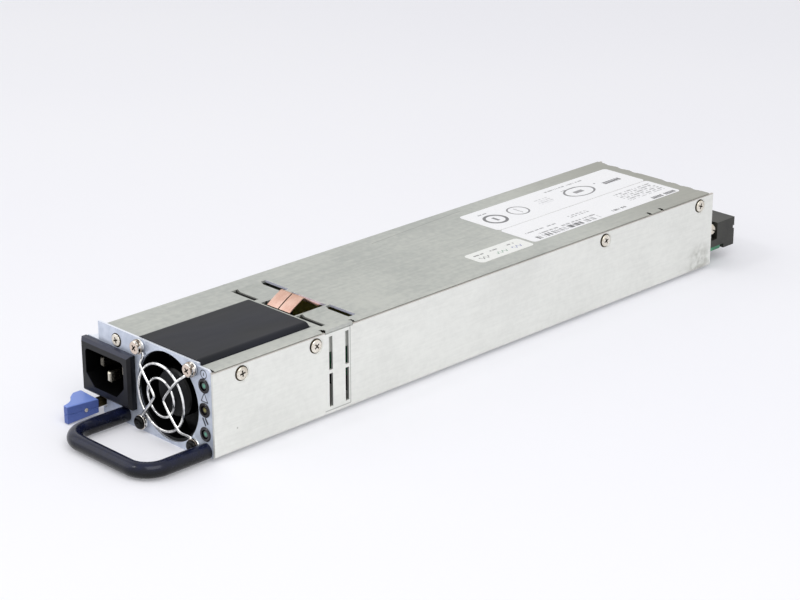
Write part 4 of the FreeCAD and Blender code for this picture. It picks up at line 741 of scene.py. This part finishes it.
rings = [wire_ring(fan_x, ring_y, fan_z, radius) for radius in ring_radii]
wires = []
for side in (-1, 1):
    at_screw = Vector((fan_x + side * corner, plate_y, fan_z + corner))
    over_screw = Vector((at_screw.x, cross_y, at_screw.z))
    apex = Vector((fan_x + side * apex_from_middle, cross_y, fan_z))
    inward = (apex - over_screw).normalized()
    foot = at_screw + inward * foot_from_screw
    rise = over_screw + inward * rise_from_screw
    slant = (rise - foot) * 0.22
    upper = [at_screw + inward * eyelet_r, foot - inward * 0.0006, foot + slant,
             rise - slant, rise + inward * 0.0010, apex - inward * 0.0012]
    lower = [Vector((p.x, p.y, 2 * fan_z - p.z)) for p in reversed(upper)]
    wires.append(bent_wire(upper + lower))
    wires += [wire_ring(at_screw.x, plate_y, fan_z + level * corner, eyelet_r) for level in (-1, 1)]
hand_over(joined(*rings, *wires), "chromed_wire_guard", "fan_guard", "bright_wire", chrome)

# Guard screws. The upper pair are nickel plated with a deep cross and a washer; the lower pair are
# glossy black domes on bright washers. All four clamp the eyelets of the guard.

washer_r, washer_t = 0.0031, 0.0008
guard_head_r, guard_head_h = 0.0028, 0.0014
washer_seat = face_y - 2 * wire_r
head_seat = washer_seat - washer_t
domes = moulded(
    "black_oxide", colour(4, 4, 5), colour(8, 8, 10), 0.14, Specular_IOR_Level=0.18)
guard_plating, shader, place = finish("guard_screw_plating", Metallic=1.0)
# Painted reflection: the sides of heads and washers are painted in white and dark bands, like chrome
# reflecting its surroundings. The front faces stay plain.
reflection_band_noise = place.noise(620.0, 2.0)
painted_reflection_bands = reflection_band_noise.soft(0.38, 0.6).mix(colour(252, 249, 242), colour(96, 86, 78))
faced = place.facing().axis(1) < -0.9
faced.mix(painted_reflection_bands, colour(214, 198, 184)).feed(shader, "Base Color")
reflection_band_noise.spread(0.1, 0.24).feed(shader, "Roughness")


def at_corners(pattern, level, y, turns):
    """Drives two copies into the upper (1) or lower (-1) corners of the fan."""
    seats = [Vector((fan_x + side * corner, y, fan_z + level * corner)) for side in (-1, 1)]
    return driven(pattern, seats, (0, -1, 0), turns)


for level, name, node in ((1, "upper_guard_washers", "guard_screws_upper"),
                          (-1, "lower_guard_washers", "guard_screws_lower")):
    washer = disc(washer_r, washer_t, crown=0.0002, segments=3)
    washer.data.materials.append(guard_plating)
    hand_over(at_corners(washer, level, washer_seat, (0, 0)), name, node, "nickel_screws")
pattern = cross_screw(guard_head_r, gap=0.0, height=guard_head_h, crown=0.0005,
                      reach=0.0018, width=0.0009, depth=0.0009, plating=guard_plating)
whole = at_corners(pattern, 1, head_seat, (45, 40))
hand_over(whole, "upper_guard_screws", "guard_screws_upper", "nickel_screws")
dome = disc(guard_head_r, guard_head_h, crown=0.00125, segments=8)
notch(dome, length=0.0016, width=0.0005, top=guard_head_h, depth=0.0005, taper=0.5)
dome.data.materials.append(domes)
whole = at_corners(dome, -1, head_seat, (20, 60))
hand_over(whole, "lower_guard_domes", "guard_screws_lower", "black_screws")

# Labels. White stock with small generic printing: plain rings, rules, a strip of bars and rows of
# strokes that stand for type. A third, smaller sticker carries three coloured scribbles.


def chosen(steps, gap):
    """1 in a random choice of the whole steps, fewer as the gap grows."""
    whole = steps.calc("FLOOR")
    settings = {"noise_dimensions": "1D"}
    return whole.node("ShaderNodeTexWhiteNoise", settings, {"W": whole}, 0) > gap


class Print:
    """One label's ink, with places in millimetres across and along it from its near left corner."""

    def __init__(self, node, paper):
        self.node = node
        self.material, self.shader, place = finish(node + "_stock", Roughness=0.4)
        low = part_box(node)[0]
        self.across = (place.axis(0) - low[0]) * 1000.0
        self.along = (place.axis(1) - low[1]) * 1000.0
        self.top = place.axis(2) > low[2] + 0.00008
        fibre = place.noise(1200.0, 3.0)
        lighter = (level + 8 for level in paper)
        self.sheet = fibre.soft(0.3, 0.7).mix(colour(*paper), colour(*lighter))
        fibre.spread(0.34, 0.46).feed(self.shader, "Roughness")

    def ink(self, mask, strength=0.85, tone=(38, 38, 44)):
        self.sheet = (mask * self.top * strength).mix(self.sheet, colour(*tone))

    def box(self, u0, u1, v0, v1):
        return self.across.between(u0, u1) * self.along.between(v0, v1)

    def cells(self, length, gap, seed=0.0):
        return chosen(self.along * (1 / length) + seed, gap)

    def row(self, u0, u1, v0, v1, seed=0.0, strength=0.75, letter=0.62):
        """Strokes that stand for one row of type."""
        stems = (self.along * (1 / letter) + seed).calc("FRACT") < 0.78
        self.ink(self.box(u0, u1, v0, v1) * self.cells(letter, 0.24, seed) * stems, strength)

    def block(self, u0, u1, v0, v1, pitch, strength=0.55):
        """Rows that stand for a paragraph."""
        rows = (self.across - u0) * (1 / pitch)
        letters = chosen(self.along * 1.4 + rows.calc("FLOOR") * 7.0, 0.26)
        self.ink(self.box(u0, u1, v0, v1) * (rows.calc("FRACT") < 0.5) * letters, strength)

    def ring(self, u, v, ru, rv, stroke, strength=0.85):
        reach = ((self.across - u) * (1 / ru)).reach((self.along - v) * (1 / rv))
        self.ink(reach.line(1.0, 0.4 * stroke / ru, 0.6 * stroke / ru), strength)

    def press(self):
        self.sheet.feed(self.shader, "Base Color")
        dress(self.material, self.node)


white_stock = (236, 236, 239)

# The bar label: its strip of bars, two rows under it, a paragraph, and larger rows to the rear.
codes = Print("barcode_label", white_stock)
codes.ink(codes.box(16.6, 19.9, 4.0, 46.0) * codes.cells(0.36, 0.45), 0.9)
codes.row(14.5, 15.6, 9.0, 46.6, seed=3.0)
codes.row(10.4, 11.4, 5.0, 26.0, seed=11.0)
codes.block(8.2, 11.6, 35.6, 48.0, pitch=1.7)
codes.row(16.9, 18.7, 55.0, 65.0, seed=23.0, strength=0.9)
codes.row(17.8, 20.3, 82.6, 99.0, seed=31.0, strength=0.9, letter=1.5)
codes.block(3.5, 14.0, 73.0, 98.0, pitch=2.0)
codes.press()

# The rating label: three rings, each with its own filling, a pale paragraph, and short rows.
rating = Print("rating_label", white_stock)
rating.ring(13.4, 10.3, 5.2, 5.2, stroke=1.5)
rating.ink(rating.box(11.2, 15.6, 9.5, 11.1), 0.8)
rating.ring(12.5, 26.1, 5.1, 5.1, stroke=0.8, strength=0.8)
rating.ink(rating.box(9.4, 15.6, 25.8, 26.4), 0.6)
rating.block(8.6, 14.6, 40.0, 49.5, pitch=1.9, strength=0.3)
rating.ring(13.9, 66.6, 5.6, 8.6, stroke=0.8, strength=0.8)
rating.ink(rating.box(12.6, 15.2, 61.5, 71.7) * rating.cells(1.5, 0.3, 5.0), 0.7)
rating.row(13.0, 15.9, 83.0, 96.0, seed=41.0, strength=0.9, letter=1.9)
rating.row(3.4, 4.4, 53.5, 79.4, seed=2.0)
rating.row(7.9, 8.9, 60.0, 70.0, seed=8.0)
rating.row(4.5, 5.5, 7.0, 15.4, seed=17.0)
rating.ink(rating.box(10.9, 11.9, 79.5, 80.5), 0.8)
rating.press()

# The inspection sticker: a short row and a scribble of one pen in each of three places.
checks = Print("inspection_sticker", (228, 229, 226))
pens = ((3.0, 6.0, (46, 46, 50)), (13.0, 7.0, (40, 120, 84)), (23.0, 6.0, (62, 78, 158)))
for start, length, pen in pens:
    checks.ink(checks.box(3.0, 4.0, start, start + length) * checks.cells(0.7, 0.3, start), 0.7)
    wave = (checks.along * 2.4 + start).calc("SINE") * 0.9 + 7.5
    scribble = checks.across.line(wave, 0.2, 0.5) * checks.along.between(start, start + length)
    checks.ink(scribble, 0.8, pen)
checks.press()

# Floor and light. A plain pale floor under the lowest edge, two large soft lamps with a smaller one
# between them for the gloss, and a white surround that only the eye and reflections see in full.


def looked_at(tree):
    """1 for rays of the eye, of reflections and through clear pieces, 0 for those that only light."""
    rays = tree.nodes.new("ShaderNodeLightPath")
    kinds = ("Is Camera Ray", "Is Glossy Ray", "Is Transmission Ray")
    eye, gloss, clear = (Field(tree, rays.outputs[kind]) for kind in kinds)
    return eye.larger(gloss).larger(clear)


bpy.ops.mesh.primitive_plane_add(size=12.0, location=(0, 0, cad_box[0][2]))
floor = bpy.context.object
floor.name = "floor"
pale, shader, place = finish("pale_floor", Roughness=0.8)
clouds = place.noise(3.0, 1.0).soft(0.3, 0.7)
clouds.mix(colour(243, 243, 249), colour(245, 245, 250)).feed(shader, "Base Color")
nodes, links = pale.node_tree.nodes, pale.node_tree.links
plain_white = nodes.new("ShaderNodeEmission")
plain_white.inputs["Color"].default_value = colour(250, 250, 255)
blend = nodes.new("ShaderNodeMixShader")
(looked_at(pale.node_tree) * 0.2).feed(blend, 0)
links.new(shader.outputs[0], blend.inputs[1])
links.new(plain_white.outputs[0], blend.inputs[2])
links.new(blend.outputs[0], nodes["Material Output"].inputs["Surface"])
floor.data.materials.append(pale)

world = bpy.data.worlds.new("surround")
bpy.context.scene.world = world
world.use_nodes = True
background = world.node_tree.nodes["Background"]
background.inputs["Color"].default_value = (1, 1, 1, 1)
looked_at(world.node_tree).spread(0.62, 1.0).feed(background, "Strength")

for name, lamp_at, size, power in (("key", (0.95, -0.45, 1.3), 1.2, 11.0),
                                   ("fill", (-1.0, -1.0, 0.9), 1.4, 5.0),
                                   ("spark", (-0.25, -1.0, 1.0), 0.16, 1.6)):
    bpy.ops.object.light_add(type="AREA", location=lamp_at)
    lamp = bpy.context.object
    lamp.name = name
    lamp.data.size = size
    lamp.data.energy = power
    lamp.rotation_euler = (-Vector(lamp_at)).to_track_quat("-Z", "Y").to_euler()

# Camera. Set at the side and above, near the handle end, with a long lens.
# It looks along its yaw and pitch and leans by its roll.

camera_at = Vector((0.64270, -0.65304, 0.36913))
yaw, pitch, roll = (math.radians(angle) for angle in (45.377, -21.151, -0.131))
ahead = Vector((-math.sin(yaw) * math.cos(pitch), math.cos(yaw) * math.cos(pitch), math.sin(pitch)))
side = Vector((math.cos(yaw), math.sin(yaw), 0))
above = side.cross(ahead)
turned = side * math.cos(roll) + above * math.sin(roll)
above = above * math.cos(roll) - side * math.sin(roll)
bpy.ops.object.camera_add(location=camera_at)
camera = bpy.context.object
axes = Matrix((turned, above, -ahead)).transposed().to_4x4()
camera.matrix_world = Matrix.Translation(camera_at) @ axes
camera.data.lens = 101.84
camera.data.sensor_width = 36.0
camera.data.clip_start = 0.01
bpy.context.scene.camera = camera
bpy.context.scene.view_settings.view_transform = "Standard"
